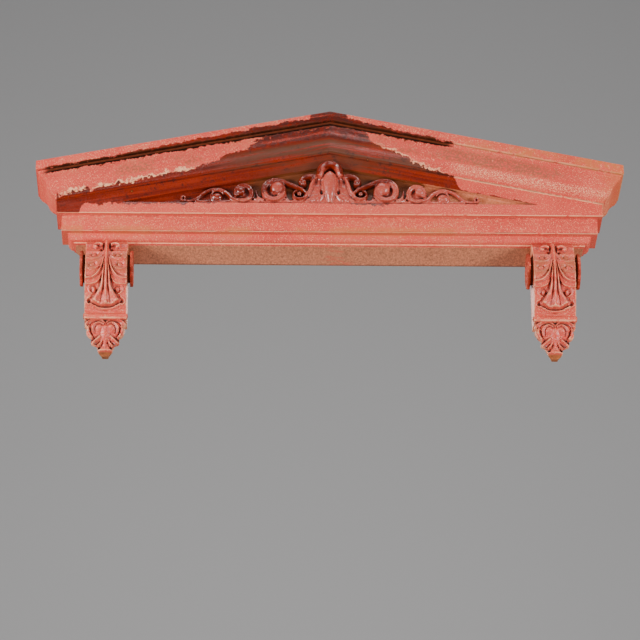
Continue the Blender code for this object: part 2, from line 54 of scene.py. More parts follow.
# Hood: sizes out from the wall and up from its lower edge, as in the CAD solid
RAKE_ANGLE = math.radians(11.5)
RAKE = math.tan(RAKE_ANGLE)
WALL = 0.006
GAP = 0.0003
HALF_WIDTH = HOOD_HIGH.x
CROWN_OUT = -HOOD_LOW.y
LOWER_EDGE = HOOD_LOW.z
RETURN_HALF = HALF_WIDTH - CROWN_OUT
SOFFIT_OUT = 0.044
SOFFIT_UP = 0.033
BED_FOOT = 0.0375
BED_OUT = 0.047
FRIEZE_FOOT = 0.0555
FRIEZE_OUT = 0.078
BAND_FOOT = 0.100
BAND_OUT = 0.091
BAND_TOP = 0.134
FILLET_OUT = 0.095
FILLET_TOP = 0.142
CYMA_OUT = 0.136
CYMA_TOP = 0.184
CYMA_SWELL = 0.10
BEAD_FOOT = 0.1875
BEAD_RADIUS = 0.004
BEAD_TOP = 0.1955
CROWN_TOP = 0.2205
PANEL_OUT = 0.077
TYMPANUM_FLOOR = 0.133
RAKE_BAND = 0.034
FLANGE = 0.040
BOLT_HOLE = 0.011
RAKE_BOLTS = (0.18, 0.52)
FOOT_BOLTS = (0.18, 0.42)
PAINT_EDGE = 0.0012
HOOD_STATIONS = 61

# Nail heads on the raking band, across and up
NAIL_HEADS = [(0.0974, 0.2588), (0.1495, 0.2282), (-0.5066, 0.1633)]

# Scrollwork and consoles
SCROLL_VOXEL = 0.0014
SCROLL_RELIEF = 0.030
ARCH_REACH = 0.035
ARCH_SPRING = 0.091
CONSOLE_CENTRE = (CONSOLE_LOW.x + CONSOLE_HIGH.x) / 2
CONSOLE_WIDTH = 0.107
CONSOLE_DROP = 0.271
CONSOLE_DEPTH = 0.101
CONSOLE_ROWS = 240
CONSOLE_COLUMNS = 117
EAR_RADIUS = 0.046
EAR_THICKNESS = 0.008
EAR_NECK = 0.006
EAR_OUT = 0.052
EAR_DOWN = 0.041
EAR_GROOVE = 0.0030
EAR_STEPS = 72
EAR_RINGS = 26
CONSOLE_WALL = 0.009
CONSOLE_ROOM_TOP = 0.06
CONSOLE_ROOM_FOOT = 0.66


def srgb(red, green, blue):
    """Linear colour of an 8-bit screen colour."""
    values = []
    for level in (red, green, blue):
        share = level / 255
        values.append(share / 12.92 if share <= 0.04045 else ((share + 0.055) / 1.055) ** 2.4)
    return (*values, 1.0)


PINK = srgb(192, 53, 40)
LIGHT_PINK = srgb(212, 76, 58)
SAND = srgb(174, 90, 54)
CREAM = srgb(240, 172, 126)
GLOSS_RED = srgb(138, 36, 11)
DEEP_RED = srgb(78, 12, 4)
OLIVE = srgb(84, 42, 16)
BROWN = srgb(38, 12, 5)
OCHRE = srgb(182, 98, 40)
RUST = srgb(104, 42, 22)
DARK_RUST = srgb(58, 32, 24)
RUST_DUST = srgb(150, 84, 52)
SOOT = srgb(60, 16, 6)
GROOVE_BROWN = srgb(58, 24, 10)
GROOVE_OLIVE = srgb(88, 40, 18)
CREASE_SHADE_BLACK = srgb(14, 5, 3)
PANEL_OLIVE = srgb(128, 66, 34)
PANEL_BROWN = srgb(92, 44, 20)
PALE_SAND = srgb(206, 122, 88)
DUST = srgb(124, 70, 38)
SOFFIT_DARK = srgb(112, 72, 44)
SOFFIT_SAND = srgb(186, 112, 76)
SCRAPE_RED = srgb(176, 72, 48)
SCROLL_PINK = srgb(124, 44, 26)
RUBBED_AND_LIT_PINK = srgb(222, 124, 98)
LEAF_DIRT = srgb(150, 78, 40)
TIP_OCHRE = srgb(188, 104, 44)
TIP_BROWN = srgb(92, 44, 16)


# Meshes

def loft(rows, closed=True):
    """Mesh through rows of equal length, with a cap at each end when closed."""
    solid = bmesh.new()
    loops = [[solid.verts.new(point) for point in row] for row in rows]
    count = len(rows[0])
    last = count if closed else count - 1
    for lower, upper in zip(loops, loops[1:]):
        for index in range(last):
            after = (index + 1) % count
            solid.faces.new((lower[index], lower[after], upper[after], upper[index]))
    if closed:
        solid.faces.new(list(reversed(loops[0])))
        solid.faces.new(loops[-1])
    return solid


def new_piece(name, solid, smooth_angle=35.0):
    bmesh.ops.recalc_face_normals(solid, faces=solid.faces)
    mesh = bpy.data.meshes.new(name)
    solid.to_mesh(mesh)
    solid.free()
    shade(mesh, smooth_angle)
    piece = bpy.data.objects.new(name, mesh)
    bpy.context.scene.collection.objects.link(piece)
    return piece


def shade(mesh, smooth_angle):
    mesh.shade_smooth()
    mesh.set_sharp_from_angle(angle=math.radians(smooth_angle))


def apply_modifiers(piece):
    """Replace a piece's mesh by what its modifiers make of it."""
    bpy.context.view_layer.update()
    evaluated = piece.evaluated_get(bpy.context.evaluated_depsgraph_get())
    made = bpy.data.meshes.new_from_object(evaluated)
    piece.modifiers.clear()
    old = piece.data
    piece.data = made
    bpy.data.meshes.remove(old)


def combine(piece, other, operation):
    """Join another piece to a piece, or take it out; the other piece is used up."""
    modifier = piece.modifiers.new("combine", "BOOLEAN")
    modifier.operation = operation
    modifier.solver = "EXACT"
    modifier.material_mode = "TRANSFER"
    modifier.object = other
    apply_modifiers(piece)
    bpy.data.objects.remove(other, do_unlink=True)


def cut(piece, solid, paint=None):
    """Take a closed solid out of a piece."""
    cutter = new_piece("cutter", solid)
    if paint:
        cutter.data.materials.append(paint)
    combine(piece, cutter, "DIFFERENCE")


def blend(table, value):
    """Smooth value between the knots of a short table of (place, size) pairs."""
    if value <= table[0][0]:
        return table[0][1]
    for (a, low), (b, high) in zip(table, table[1:]):
        if value <= b:
            share = (value - a) / (b - a)
            share = share * share * (3 - 2 * share)
            return low + (high - low) * share
    return table[-1][1]


def bump(distance, radius):
    """Round hill of height 1 that reaches zero at its radius."""
    share = abs(distance) / radius
    return (1 - share * share) ** 2 if share < 1 else 0.0


def curve_through(knots, steps):
    """Smooth path through a few chosen points."""
    points = []
    count = len(knots) - 1
    for piece in range(count):
        p0 = Vector(knots[max(piece - 1, 0)])
        p1 = Vector(knots[piece])
        p2 = Vector(knots[piece + 1])
        p3 = Vector(knots[min(piece + 2, count)])
        for step in range(steps):
            t = step / steps
            point = 0.5 * ((2 * p1) + (p2 - p0) * t + (2 * p0 - 5 * p1 + 4 * p2 - p3) * t * t
                           + (3 * p1 - p0 - 3 * p2 + p3) * t ** 3)
            points.append((point.x, point.y))
    points.append(tuple(knots[-1]))
    return points


def spiral(centre, outer, inner, start, turns, steps):
    path = []
    for step in range(steps + 1):
        share = step / steps
        radius = outer + (inner - outer) * share
        turn = start + turns * 2 * math.pi * share
        path.append((centre[0] + radius * math.cos(turn), centre[1] + radius * math.sin(turn)))
    return path


def taper(first, last, count):
    return [first + (last - first) * i / (count - 1) for i in range(count)]


def store_cavity(piece, rounds, reach):
    """Vertex value from 0 on proud edges through 0.5 on flats to 1 deep in hollows."""
    mesh = piece.data
    count = len(mesh.vertices)
    places = np.empty(count * 3, np.float32)
    mesh.vertices.foreach_get("co", places)
    places = places.reshape(-1, 3).astype(float)
    normals = np.empty(count * 3, np.float32)
    mesh.vertex_normals.foreach_get("vector", normals)
    normals = normals.reshape(-1, 3).astype(float)
    edges = np.empty(len(mesh.edges) * 2, np.int32)
    mesh.edges.foreach_get("vertices", edges)
    first, second = edges.reshape(-1, 2).T
    degree = np.bincount(first, minlength=count) + np.bincount(second, minlength=count)
    degree = np.maximum(degree, 1)[:, None]
    smooth = places.copy()
    for _ in range(rounds):
        total = np.zeros_like(smooth)
        np.add.at(total, first, smooth[second])
        np.add.at(total, second, smooth[first])
        smooth = 0.5 * smooth + 0.5 * total / degree
    depth = ((smooth - places) * normals).sum(1)
    values = np.clip(0.5 + depth / (2 * reach), 0, 1).astype(np.float32)
    layer = mesh.attributes.new("cavity", "FLOAT", "POINT")
    layer.data.foreach_set("value", values)


# Hood

def moulding():
    """Profile rows as (out from the wall, height), split into level and raking parts."""
    level = [(WALL, 0.0), (SOFFIT_OUT, SOFFIT_UP), (BED_OUT, SOFFIT_UP), (BED_OUT, BED_FOOT)]
    for step in range(1, 9):
        turn = math.radians(90 * step / 8)
        level.append((BED_OUT + 0.015 * math.sin(turn),
                      BED_FOOT + 0.018 * (1 - math.cos(turn))))
    level += [(FRIEZE_OUT, FRIEZE_FOOT), (FRIEZE_OUT, BAND_FOOT), (BAND_OUT, BAND_FOOT)]
    raking = [(BAND_OUT, BAND_TOP), (FILLET_OUT, BAND_TOP), (FILLET_OUT, FILLET_TOP)]
    for step in range(1, 17):
        rise = step / 16
        swell = rise + CYMA_SWELL * math.sin(2 * math.pi * rise)
        raking.append((FILLET_OUT + (CYMA_OUT - FILLET_OUT) * swell,
                       FILLET_TOP + (CYMA_TOP - FILLET_TOP) * rise))
    raking.append((CYMA_OUT, BEAD_FOOT))
    for step in range(9):
        turn = math.radians(-60 + 15 * step)
        raking.append((CYMA_OUT + BEAD_RADIUS * math.cos(turn),
                       BEAD_FOOT + BEAD_RADIUS + BEAD_RADIUS * math.sin(turn)))
    raking += [(CYMA_OUT, BEAD_TOP), (CROWN_OUT, BEAD_TOP), (CROWN_OUT, CROWN_TOP)]
    return level, raking


def soften(profile, radius):
    """Round the sharp corners of a profile."""
    made = [profile[0]]
    for before, here, after in zip(profile, profile[1:], profile[2:]):
        before, here, after = Vector(before), Vector(here), Vector(after)
        incoming, outgoing = here - before, after - here
        if incoming.angle(outgoing) < math.radians(25):
            made.append(tuple(here))
            continue
        reach = min(radius, incoming.length * 0.45, outgoing.length * 0.45)
        start = here - incoming.normalized() * reach
        end = here + outgoing.normalized() * reach
        middle = (start + end) / 4 + here / 2
        made += [tuple(start), tuple(middle), tuple(end)]
    made.append(profile[-1])
    return made


def stations(half):
    """Places along a course, with one at each tip of the tympanum."""
    tip = tympanum_corner() / half
    places = [i / (HOOD_STATIONS - 1) for i in range(HOOD_STATIONS)]
    nearest = min(range(1, HOOD_STATIONS - 1), key=lambda i: abs(places[i] - tip))
    places[nearest] = tip
    return [-place for place in reversed(places[1:])] + places


def tympanum_corner():
    peak = BAND_TOP + (RETURN_HALF + BAND_OUT) * RAKE - RAKE_BAND / math.cos(RAKE_ANGLE)
    return (peak - TYMPANUM_FLOOR) / RAKE


def course(out, up, raking, places, back=0.0):
    """One line of the moulding from the wall round the front and back to the wall."""
    half = RETURN_HALF + out
    row = [(-half, back, up + LOWER_EDGE)]
    for place in places:
        rise = (1 - abs(place)) * half * RAKE if raking else 0.0
        row.append((place * half, -out, up + rise + LOWER_EDGE))
    row.append((half, back, up + LOWER_EDGE))
    return row


def tympanum_rows(places):
    """Rows down over the ledge of the sunk panel, up it and out again under the rake."""
    half = RETURN_HALF + BAND_OUT
    corner = tympanum_corner()
    steps = [(0.0, -1.0, BAND_OUT), (0.0, -0.3, BAND_OUT - PAINT_EDGE * 0.3),
             (0.0, 0.0, BAND_OUT - PAINT_EDGE), (0.0, 0.0, PANEL_OUT + PAINT_EDGE),
             (0.0, 0.3, PANEL_OUT + PAINT_EDGE * 0.3), (0.0, 1.0, PANEL_OUT),
             (1.0, -1.0, PANEL_OUT), (1.0, -0.3, PANEL_OUT + PAINT_EDGE * 0.3),
             (1.0, 0.0, PANEL_OUT + PAINT_EDGE), (1.0, 0.0, BAND_OUT - PAINT_EDGE),
             (1.0, 0.3, BAND_OUT - PAINT_EDGE * 0.3), (1.0, 1.0, BAND_OUT)]
    rows = []
    for upper, shift, out in steps:
        row = [(-half, 0.0, TYMPANUM_FLOOR + LOWER_EDGE)]
        for place in places:
            across = place * half
            room = max(corner - abs(across), 0.0) * RAKE
            edge = min(PAINT_EDGE, room * 0.3)
            up = TYMPANUM_FLOOR + upper * room + shift * edge
            depth = out if room > 1e-6 else BAND_OUT
            row.append((across, -depth, up + LOWER_EDGE))
        row.append((half, 0.0, TYMPANUM_FLOOR + LOWER_EDGE))
        rows.append(row)
    return rows


def hood_front():
    """Outer form of the hood with its sunk tympanum and a flat back."""
    level, raking = moulding()
    level = soften(level, PAINT_EDGE)
    raking = soften([level[-1]] + raking, PAINT_EDGE)[1:]
    places = stations(RETURN_HALF + BAND_OUT)
    rows = [course(out, up, False, places) for out, up in level]
    rows += tympanum_rows(places)
    rows += [course(out, up, True, places) for out, up in raking]
    solid = loft(rows, closed=False)
    solid.verts.ensure_lookup_table()
    width = len(rows[0])
    loops = [solid.verts[i * width:(i + 1) * width] for i in range(len(rows))]
    top = loops[-1]
    ridge = [solid.verts.new((vertex.co.x, 0.0, vertex.co.z)) for vertex in top[2:-2]]
    back = [top[0]] + ridge + [top[-1]]
    solid.faces.new((top[0], top[1], top[2], ridge[0]))
    solid.faces.new((top[-1], ridge[-1], top[-3], top[-2]))
    for index in range(len(ridge) - 1):
        solid.faces.new((top[index + 2], top[index + 3], ridge[index + 1], ridge[index]))
    solid.faces.new(list(reversed(loops[0])))
    left = [loop[0] for loop in loops]
    right = [loop[-1] for loop in loops]
    solid.faces.new(left[:-1] + back + list(reversed(right[:-1])))
    bmesh.ops.remove_doubles(solid, verts=solid.verts, dist=0.00001)
    bmesh.ops.dissolve_degenerate(solid, edges=solid.edges, dist=0.00001)
    return solid


def simple_course(out, up, raking, back):
    half = RETURN_HALF + out
    peak = up + half * RAKE if raking else up
    return [(x, y, z + LOWER_EDGE) for x, y, z in
            [(-half, back, up), (-half, -out, up), (0.0, -out, peak), (half, -out, up),
             (half, back, up)]]


def hood_room():
    """The room inside the shell, as wide as the moulding allows with an even wall."""
    level = [(SOFFIT_OUT - WALL, SOFFIT_UP + WALL * 0.4), (BED_OUT - WALL, BED_FOOT),
             (0.056, FRIEZE_FOOT + 0.004), (FRIEZE_OUT - WALL, FRIEZE_FOOT + WALL),
             (FRIEZE_OUT - WALL, BAND_FOOT + WALL)]
    raking = [(FRIEZE_OUT - WALL, BAND_FOOT + WALL), (BAND_OUT - WALL, BAND_TOP),
              (FILLET_OUT - WALL, FILLET_TOP + 0.003), (0.118 - WALL, 0.165),
              (CYMA_OUT - WALL, BEAD_FOOT), (CYMA_OUT - WALL, BEAD_TOP + 0.004),
              (CROWN_OUT - WALL, BEAD_TOP + WALL), (CROWN_OUT - WALL, CROWN_TOP - WALL)]
    rows = [simple_course(WALL + 0.008, 0.011, False, -WALL)]
    rows += [simple_course(out, up, False, -WALL) for out, up in level]
    rows += [simple_course(out, up, True, -WALL) for out, up in raking[1:]]
    solid = bmesh.new()
    loops = [[solid.verts.new(point) for point in row] for row in rows]
    for lower, upper in zip(loops, loops[1:]):
        for index in range(4):
            solid.faces.new((lower[index], lower[index + 1], upper[index + 1], upper[index]))
    roof = loops[-1]
    ridge = solid.verts.new((0.0, -WALL, rows[-1][2][2]))
    solid.faces.new((roof[0], roof[1], roof[2], ridge))
    solid.faces.new((roof[2], roof[3], roof[4], ridge))
    solid.faces.new(list(reversed(loops[0])))
    left = [loop[0] for loop in loops]
    right = [loop[-1] for loop in loops]
    solid.faces.new(left + [ridge] + list(reversed(right)))
    return solid


def tympanum_back():
    """Outline of the sunk panel's box, a wall wider than the panel on all sides."""
    floor = TYMPANUM_FLOOR - WALL
    reach = tympanum_corner() + WALL / RAKE + WALL / math.sin(RAKE_ANGLE)
    return [(-reach, floor), (reach, floor), (0.0, floor + reach * RAKE)]


def as_solid(piece):
    """Mesh of a helper piece, which is then deleted."""
    solid = bmesh.new()
    solid.from_mesh(piece.data)
    bpy.data.objects.remove(piece, do_unlink=True)
    return solid


def flange_opening():
    half = HALF_WIDTH - FLANGE
    shoulder = CROWN_TOP - FLANGE
    foot = half - CROWN_OUT + WALL
    top = half - CROWN_OUT / 3
    outline = [(-foot, FLANGE - WALL), (foot, FLANGE - WALL), (top, shoulder),
               (0.0, shoulder + top * RAKE), (-top, shoulder)]
    return prism(outline, -WALL * 1.5, 0.02)


def prism(outline, front, back):
    return loft([[(x, depth, z + LOWER_EDGE) for x, z in outline] for depth in (front, back)])


def bolt_holes():
    holes = bmesh.new()
    for side in (-1, 1):
        places = [(across, CROWN_TOP + (HALF_WIDTH - across) * RAKE - FLANGE / 2)
                  for across in RAKE_BOLTS]
        places += [(across, (FLANGE - WALL) / 2) for across in FOOT_BOLTS]
        for across, height in places:
            made = bmesh.ops.create_cone(holes, cap_ends=True, segments=24, depth=4 * WALL,
                                         radius1=BOLT_HOLE / 2, radius2=BOLT_HOLE / 2)
            for vertex in made["verts"]:
                x, y, z = vertex.co
                vertex.co = (x + side * across, z, y + height + LOWER_EDGE)
    return holes


def weather(piece, depth):
    """Sink the front by slow waves and small dents, as old cast iron under thick paint."""
    for vertex in piece.data.vertices:
        place = vertex.co
        if place.y > -WALL - 0.002:
            continue
        wave = noise.noise(place * 14) * 0.5 + noise.noise(place * 70) * 0.35
        wave += noise.noise(place * 190) * 0.15
        vertex.co = place - vertex.normal * depth * (0.5 + wave)


def make_hood(paint, bare):
    hood = new_piece("painted_hood", hood_front())
    hood.data.materials.append(paint)
    room = new_piece("room", hood_room())
    cut(room, prism(tympanum_back(), -BAND_OUT - 0.02, -PANEL_OUT + WALL))
    cut(hood, as_solid(room), bare)
    cut(hood, flange_opening(), bare)
    cut(hood, bolt_holes(), bare)
    return hood


# Finish

class Value:
    """A number or colour that the shader works out, so that it can stand in plain sums."""

    def __init__(self, paint, socket):
        self.paint = paint
        self.socket = socket

    def __add__(self, other):
        return self.paint.math("ADD", self, other)

    def __sub__(self, other):
        return self.paint.math("SUBTRACT", self, other)

    def __rsub__(self, other):
        return self.paint.math("SUBTRACT", other, self)

    def __mul__(self, other):
        return self.paint.math("MULTIPLY", self, other)

    def __truediv__(self, other):
        return self.paint.math("DIVIDE", self, other)

    def __neg__(self):
        return self * -1.0

    def __abs__(self):
        return self.paint.math("ABSOLUTE", self)


class Paint:
    """A material built from nodes by short calls."""

    def __init__(self, name, metallic=0.0):
        self.material = bpy.data.materials.new(name)
        self.material.use_nodes = True
        self.nodes = self.material.node_tree.nodes
        self.links = self.material.node_tree.links
        self.shader = self.nodes["Principled BSDF"]
        self.shader.inputs["Metallic"].default_value = metallic
        self.place = self.nodes.new("ShaderNodeTexCoord").outputs["Object"]
        split = self.nodes.new("ShaderNodeSeparateXYZ")
        self.links.new(self.place, split.inputs[0])
        self.x, self.y, self.z = [Value(self, socket) for socket in split.outputs]

    def feed(self, socket, value):
        if isinstance(value, Value):
            self.links.new(value.socket, socket)
        else:
            socket.default_value = value

    def surface(self, name, value):
        """Set one of the shader's own inputs."""
        self.feed(self.shader.inputs[name], value)

    def math(self, operation, *values):
        node = self.nodes.new("ShaderNodeMath")
        node.operation = operation
        for socket, value in zip(node.inputs, values):
            self.feed(socket, value)
        return Value(self, node.outputs[0])

    def most(self, *values):
        largest = values[0]
        for value in values[1:]:
            largest = self.math("MAXIMUM", largest, value)
        return largest

    def distance(self, across, height):
        return self.math("SQRT", across * across + height * height)

    def step(self, value, low, high):
        """0 below low, 1 above high and smooth between; falls when low is above high."""
        node = self.nodes.new("ShaderNodeMapRange")
        node.interpolation_type = "SMOOTHSTEP"
        falls = low > high
        self.feed(node.inputs["Value"], value)
        node.inputs["From Min"].default_value = min(low, high)
        node.inputs["From Max"].default_value = max(low, high)
        node.inputs["To Min"].default_value = 1.0 if falls else 0.0
        node.inputs["To Max"].default_value = 0.0 if falls else 1.0
        return Value(self, node.outputs["Result"])

    def band(self, value, low, high, soft):
        return self.step(value, low - soft, low + soft) * self.step(value, high + soft, high - soft)

    def line(self, value, place, width):
        return self.step(abs(value - place), width, width * 0.3)

    def curve(self, value, points):
        """A graph through a few points, as a value."""
        low, high = points[0][0], points[-1][0]
        base = min(size for _, size in points)
        span = max(max(size for _, size in points) - base, 1e-6)
        node = self.nodes.new("ShaderNodeValToRGB")
        ramp = node.color_ramp
        ramp.interpolation = "LINEAR"
        while len(ramp.elements) < len(points):
            ramp.elements.new(0.5)
        for element, (place, size) in zip(ramp.elements, points):
            element.position = (place - low) / (high - low)
            level = (size - base) / span
            element.color = (level, level, level, 1.0)
        self.feed(node.inputs[0], (value - low) / (high - low))
        return Value(self, node.outputs["Color"]) * span + base

    def grain(self, scale, detail=3.0, rough=0.55, vector=None, contrast=1.0):
        """Noise about 0.5, spread to fill most of 0 to 1."""
        node = self.nodes.new("ShaderNodeTexNoise")
        self.links.new(vector or self.place, node.inputs["Vector"])
        node.inputs["Scale"].default_value = scale
        node.inputs["Detail"].default_value = detail
        node.inputs["Roughness"].default_value = rough
        value = Value(self, node.outputs["Fac"])
        if contrast == 1.0:
            return value
        spread = (value - 0.5) * contrast + 0.5
        spread.socket.node.use_clamp = True
        return spread

    def stretched(self, x_scale, y_scale, z_value, z_scale):
        """Coordinates for streaks that run along one direction."""
        node = self.nodes.new("ShaderNodeCombineXYZ")
        sizes = (self.x * x_scale, self.y * y_scale, z_value * z_scale)
        for socket, size in zip(node.inputs, sizes):
            self.feed(socket, size)
        return node.outputs[0]

    def mix(self, share, a, b):
        node = self.nodes.new("ShaderNodeMix")
        node.data_type = "RGBA"
        node.clamp_factor = True
        self.feed(node.inputs[0], share)
        self.feed(node.inputs[6], a)
        self.feed(node.inputs[7], b)
        return Value(self, node.outputs[2])

    def hollows(self, reach):
        """1 in corners and close to other pieces, where shade falls and dirt gathers, as a mask for
        painted shade.
        """
        node = self.nodes.new("ShaderNodeAmbientOcclusion")
        node.samples = 8
        node.inputs["Distance"].default_value = reach
        return self.step(Value(self, node.outputs["AO"]), 0.62, 0.25)

    def attribute(self, name):
        node = self.nodes.new("ShaderNodeAttribute")
        node.attribute_name = name
        return Value(self, node.outputs["Fac"])

    def finish(self, colour, roughness, height, distance):
        self.surface("Base Color", colour)
        self.surface("Roughness", roughness)
        relief = self.nodes.new("ShaderNodeBump")
        relief.inputs["Strength"].default_value = 1.0
        relief.inputs["Distance"].default_value = distance
        self.feed(relief.inputs["Height"], height)
        self.links.new(relief.outputs["Normal"], self.shader.inputs["Normal"])
        return self.material


def pink_coat(paint):
    """Faded pink paint with pale grains, sandy dirt and slow changes of tone."""
    slow = paint.grain(9.0, 4.0, 0.6, contrast=2.6)
    middle = paint.grain(60.0, 4.0, 0.65, contrast=2.4)
    fine = paint.grain(420.0, 2.0, 0.6, contrast=2.6)
    colour = paint.mix(slow, PINK, LIGHT_PINK)
    dusty = paint.step(slow, 0.45, 0.85) * paint.step(fine, 0.4, 0.75)
    colour = paint.mix(dusty * 0.7, colour, SAND)
    colour = paint.mix(paint.step(fine, 0.7, 0.92) * 0.75, colour, CREAM)
    dark = paint.step(fine, 0.24, 0.08) * paint.step(middle, 0.42, 0.7)
    colour = paint.mix(dark * 0.55, colour, RUST)
    return colour, slow, middle, fine


# Edges of the red coat along the hood, as places across with raked heights, heights and
# shares of the crown's height, and on the scrollwork with heights over the floor
RED_TOP = [(-0.75, 0.146), (-0.55, 0.146), (-0.33, 0.150), (-0.20, 0.176), (-0.17, 0.186),
           (0.09, 0.186), (0.108, 0.172), (0.150, 0.163), (0.190, 0.155), (0.215, 0.147),
           (0.260, 0.141), (0.320, 0.133), (0.335, 0.100), (0.75, 0.100)]
RED_FOOT = [(-0.75, 0.100), (-0.640, 0.100), (-0.632, 0.126), (-0.42, 0.129), (-0.30, 0.131),
            (-0.27, 0.136), (0.03, 0.136), (0.055, 0.130), (0.145, 0.130), (0.17, 0.136),
            (0.75, 0.136)]
RED_ON_CROWN = [(-0.75, -0.3), (-0.60, 0.0), (-0.53, 0.16), (-0.38, 0.34), (-0.255, 0.50),
                (-0.10, 0.58), (-0.052, 0.64), (-0.045, 1.3), (0.040, 1.3), (0.047, 0.62),
                (0.12, 0.42), (0.22, 0.26), (0.31, 0.10), (0.33, -0.6), (0.75, -0.6)]
SCROLL_RED_FOOT = [(-0.40, 0.004), (-0.26, 0.004), (-0.24, 0.012), (-0.19, 0.014),
                   (-0.165, 0.030), (-0.11, 0.028), (-0.085, 0.008), (-0.066, 0.012),
                   (-0.054, 0.050), (-0.038, 0.072), (-0.024, 0.076), (-0.021, 0.098),
                   (0.021, 0.098), (0.024, 0.076), (0.038, 0.072), (0.054, 0.050),
                   (0.066, 0.012), (0.100, 0.010), (0.125, 0.055), (0.185, 0.062),
                   (0.215, 0.066), (0.40, 0.066)]


def hood_paint():
    paint = Paint("layered_hood_paint")
    x = paint.x
    out = -paint.y
    up = paint.z - LOWER_EDGE
    reach = out + RETURN_HALF - abs(x)
    raked = up - paint.most(reach, 0.0) * RAKE
    colour, slow, middle, fine = pink_coat(paint)
    ragged = (paint.grain(26.0, 3.0) - 0.5) * 0.012 + (paint.grain(80.0, 3.0, 0.65) - 0.5) * 0.026
    speckle = paint.grain(210.0, 3.0, 0.7, contrast=3.0)
    torn = raked + ragged

    # Where the red coat shows on the bands and the cyma
    depth = paint.curve(x, RED_TOP) - torn
    bands = (paint.step(depth, -0.0006, 0.0006)
             * paint.step(up, BAND_FOOT + 0.0002, BAND_FOOT + 0.001)
             * paint.step(up + ragged - paint.curve(x, RED_FOOT), -0.0006, 0.0006)
             * paint.step(raked, CYMA_TOP + 0.003, CYMA_TOP + 0.001)
             * paint.step(x, -0.6985, -0.696))
    crown_height = (torn - BEAD_TOP) / (CROWN_TOP - BEAD_TOP)
    crown = (paint.step(paint.curve(x, RED_ON_CROWN) - crown_height, -0.03, 0.03)
             * paint.step(raked, BEAD_TOP - 0.002, BEAD_TOP))
    red_zone = paint.most(bands, crown)

    # Red coat: streaks of dirt and wear that run along the slope
    streaks = paint.grain(1.0, 5.0, 0.65, vector=paint.stretched(5.0, 60.0, raked, 170.0),
                          contrast=2.4)
    from_middle = abs(x)
    centre = paint.step(from_middle, 0.36, 0.16)
    red = paint.mix(streaks, GLOSS_RED, DEEP_RED)
    lower_cyma = paint.step(raked, 0.17, 0.158) * paint.step(streaks, 0.22, 0.52)
    grime = (centre * lower_cyma
             * paint.most(paint.step(raked, 0.128, 0.136),
                          paint.step(from_middle, 0.24, 0.05) * 0.75))
    red = paint.mix(grime * 0.85, red, OLIVE)
    soot = centre * paint.step(raked, 0.16, 0.172) * paint.step(middle, 0.2, 0.62)
    red = paint.mix(soot * 0.75, red, SOOT)
    flecks = paint.step(middle, 0.66, 0.84) * paint.step(fine, 0.35, 0.55)
    red = paint.mix(flecks * 0.8, red, BROWN)
    # Pale pink streaks on the upper cyma near the middle: smeared paint and painted highlight
    smears_and_sheen = (paint.step(from_middle, 0.26, 0.1) * paint.step(raked, 0.15, 0.16)
              * paint.step(streaks, 0.3, 0.14) * paint.step(fine, 0.35, 0.6))
    red = paint.mix(smears_and_sheen * 0.5, red, LIGHT_PINK)
    colour = paint.mix(red_zone, colour, red)

    # Cream lip where the pink coat ends, and cream lines along the edges: rubbed paint and painted
    # highlight
    lip = (paint.line(depth, -0.0022, 0.003) * (1.0 - bands)
           * paint.most(paint.step(x, -0.3, -0.345), paint.band(x, 0.13, 0.29, 0.03) * 0.8)
           * paint.step(raked, 0.19, 0.186) * paint.step(x, -0.7, -0.688))
    colour = paint.mix(lip * paint.step(middle, 0.2, 0.6), colour, CREAM)
    # Cream lines on the arrises of the bands and the bead: rubbed paint and painted highlight
    edges = paint.most(paint.line(up, BAND_FOOT + 0.0006, 0.0018)
                       * paint.step(out, BAND_OUT - 0.0034, BAND_OUT - 0.0016),
                       paint.line(up, FRIEZE_FOOT + 0.0003, 0.0014)
                       * paint.step(out, FRIEZE_OUT - 0.003, FRIEZE_OUT - 0.0014),
                       paint.line(up, BED_FOOT - 0.001, 0.0016)
                       * paint.step(out, BED_OUT - 0.002, BED_OUT - 0.001))
    right = paint.step(x, 0.30, 0.34)
    edges = paint.most(edges,
                       right * paint.most(paint.line(raked, BEAD_TOP - 0.001, 0.0026),
                                          paint.line(raked, BAND_TOP, 0.0014)))
    edges = edges * (1.0 - red_zone) * paint.step(middle, 0.1, 0.45)
    colour = paint.mix(edges * 0.85, colour, CREAM)

    # Dirt and painted shade in the groove under the crown, black painted shade in its creases, and
    # painted shade with dirt in the corners of the mouldings
    left = paint.band(x, -0.726, 0.310, 0.012)
    groove_edge = raked + ragged * 0.6
    groove = left * paint.band(groove_edge, CYMA_TOP + 0.001, BEAD_TOP + 0.002, 0.0014)
    colour = paint.mix(groove * 0.96, colour, paint.mix(middle, GROOVE_BROWN, GROOVE_OLIVE))
    # Near-black painted shade along the two creases of the groove
    crease_shade = (groove
             * paint.most(paint.line(raked, CYMA_TOP + 0.0026, 0.0026),
                          paint.line(raked, BEAD_TOP - 0.0012, 0.0022)))
    colour = paint.mix(crease_shade, colour, CREASE_SHADE_BLACK)
    # Painted shade with dirt in the corners of the mouldings, under the band and at its top
    corner = paint.most(paint.line(up, FRIEZE_FOOT + 0.0022, 0.0016),
                        paint.line(up, BAND_FOOT - 0.0016, 0.0016),
                        paint.line(raked, BAND_TOP + 0.0008, 0.0011)
                        * paint.step(out, 0.0895, 0.0905))
    colour = paint.mix(corner * paint.step(middle, 0.25, 0.6) * 0.55, colour, BROWN)

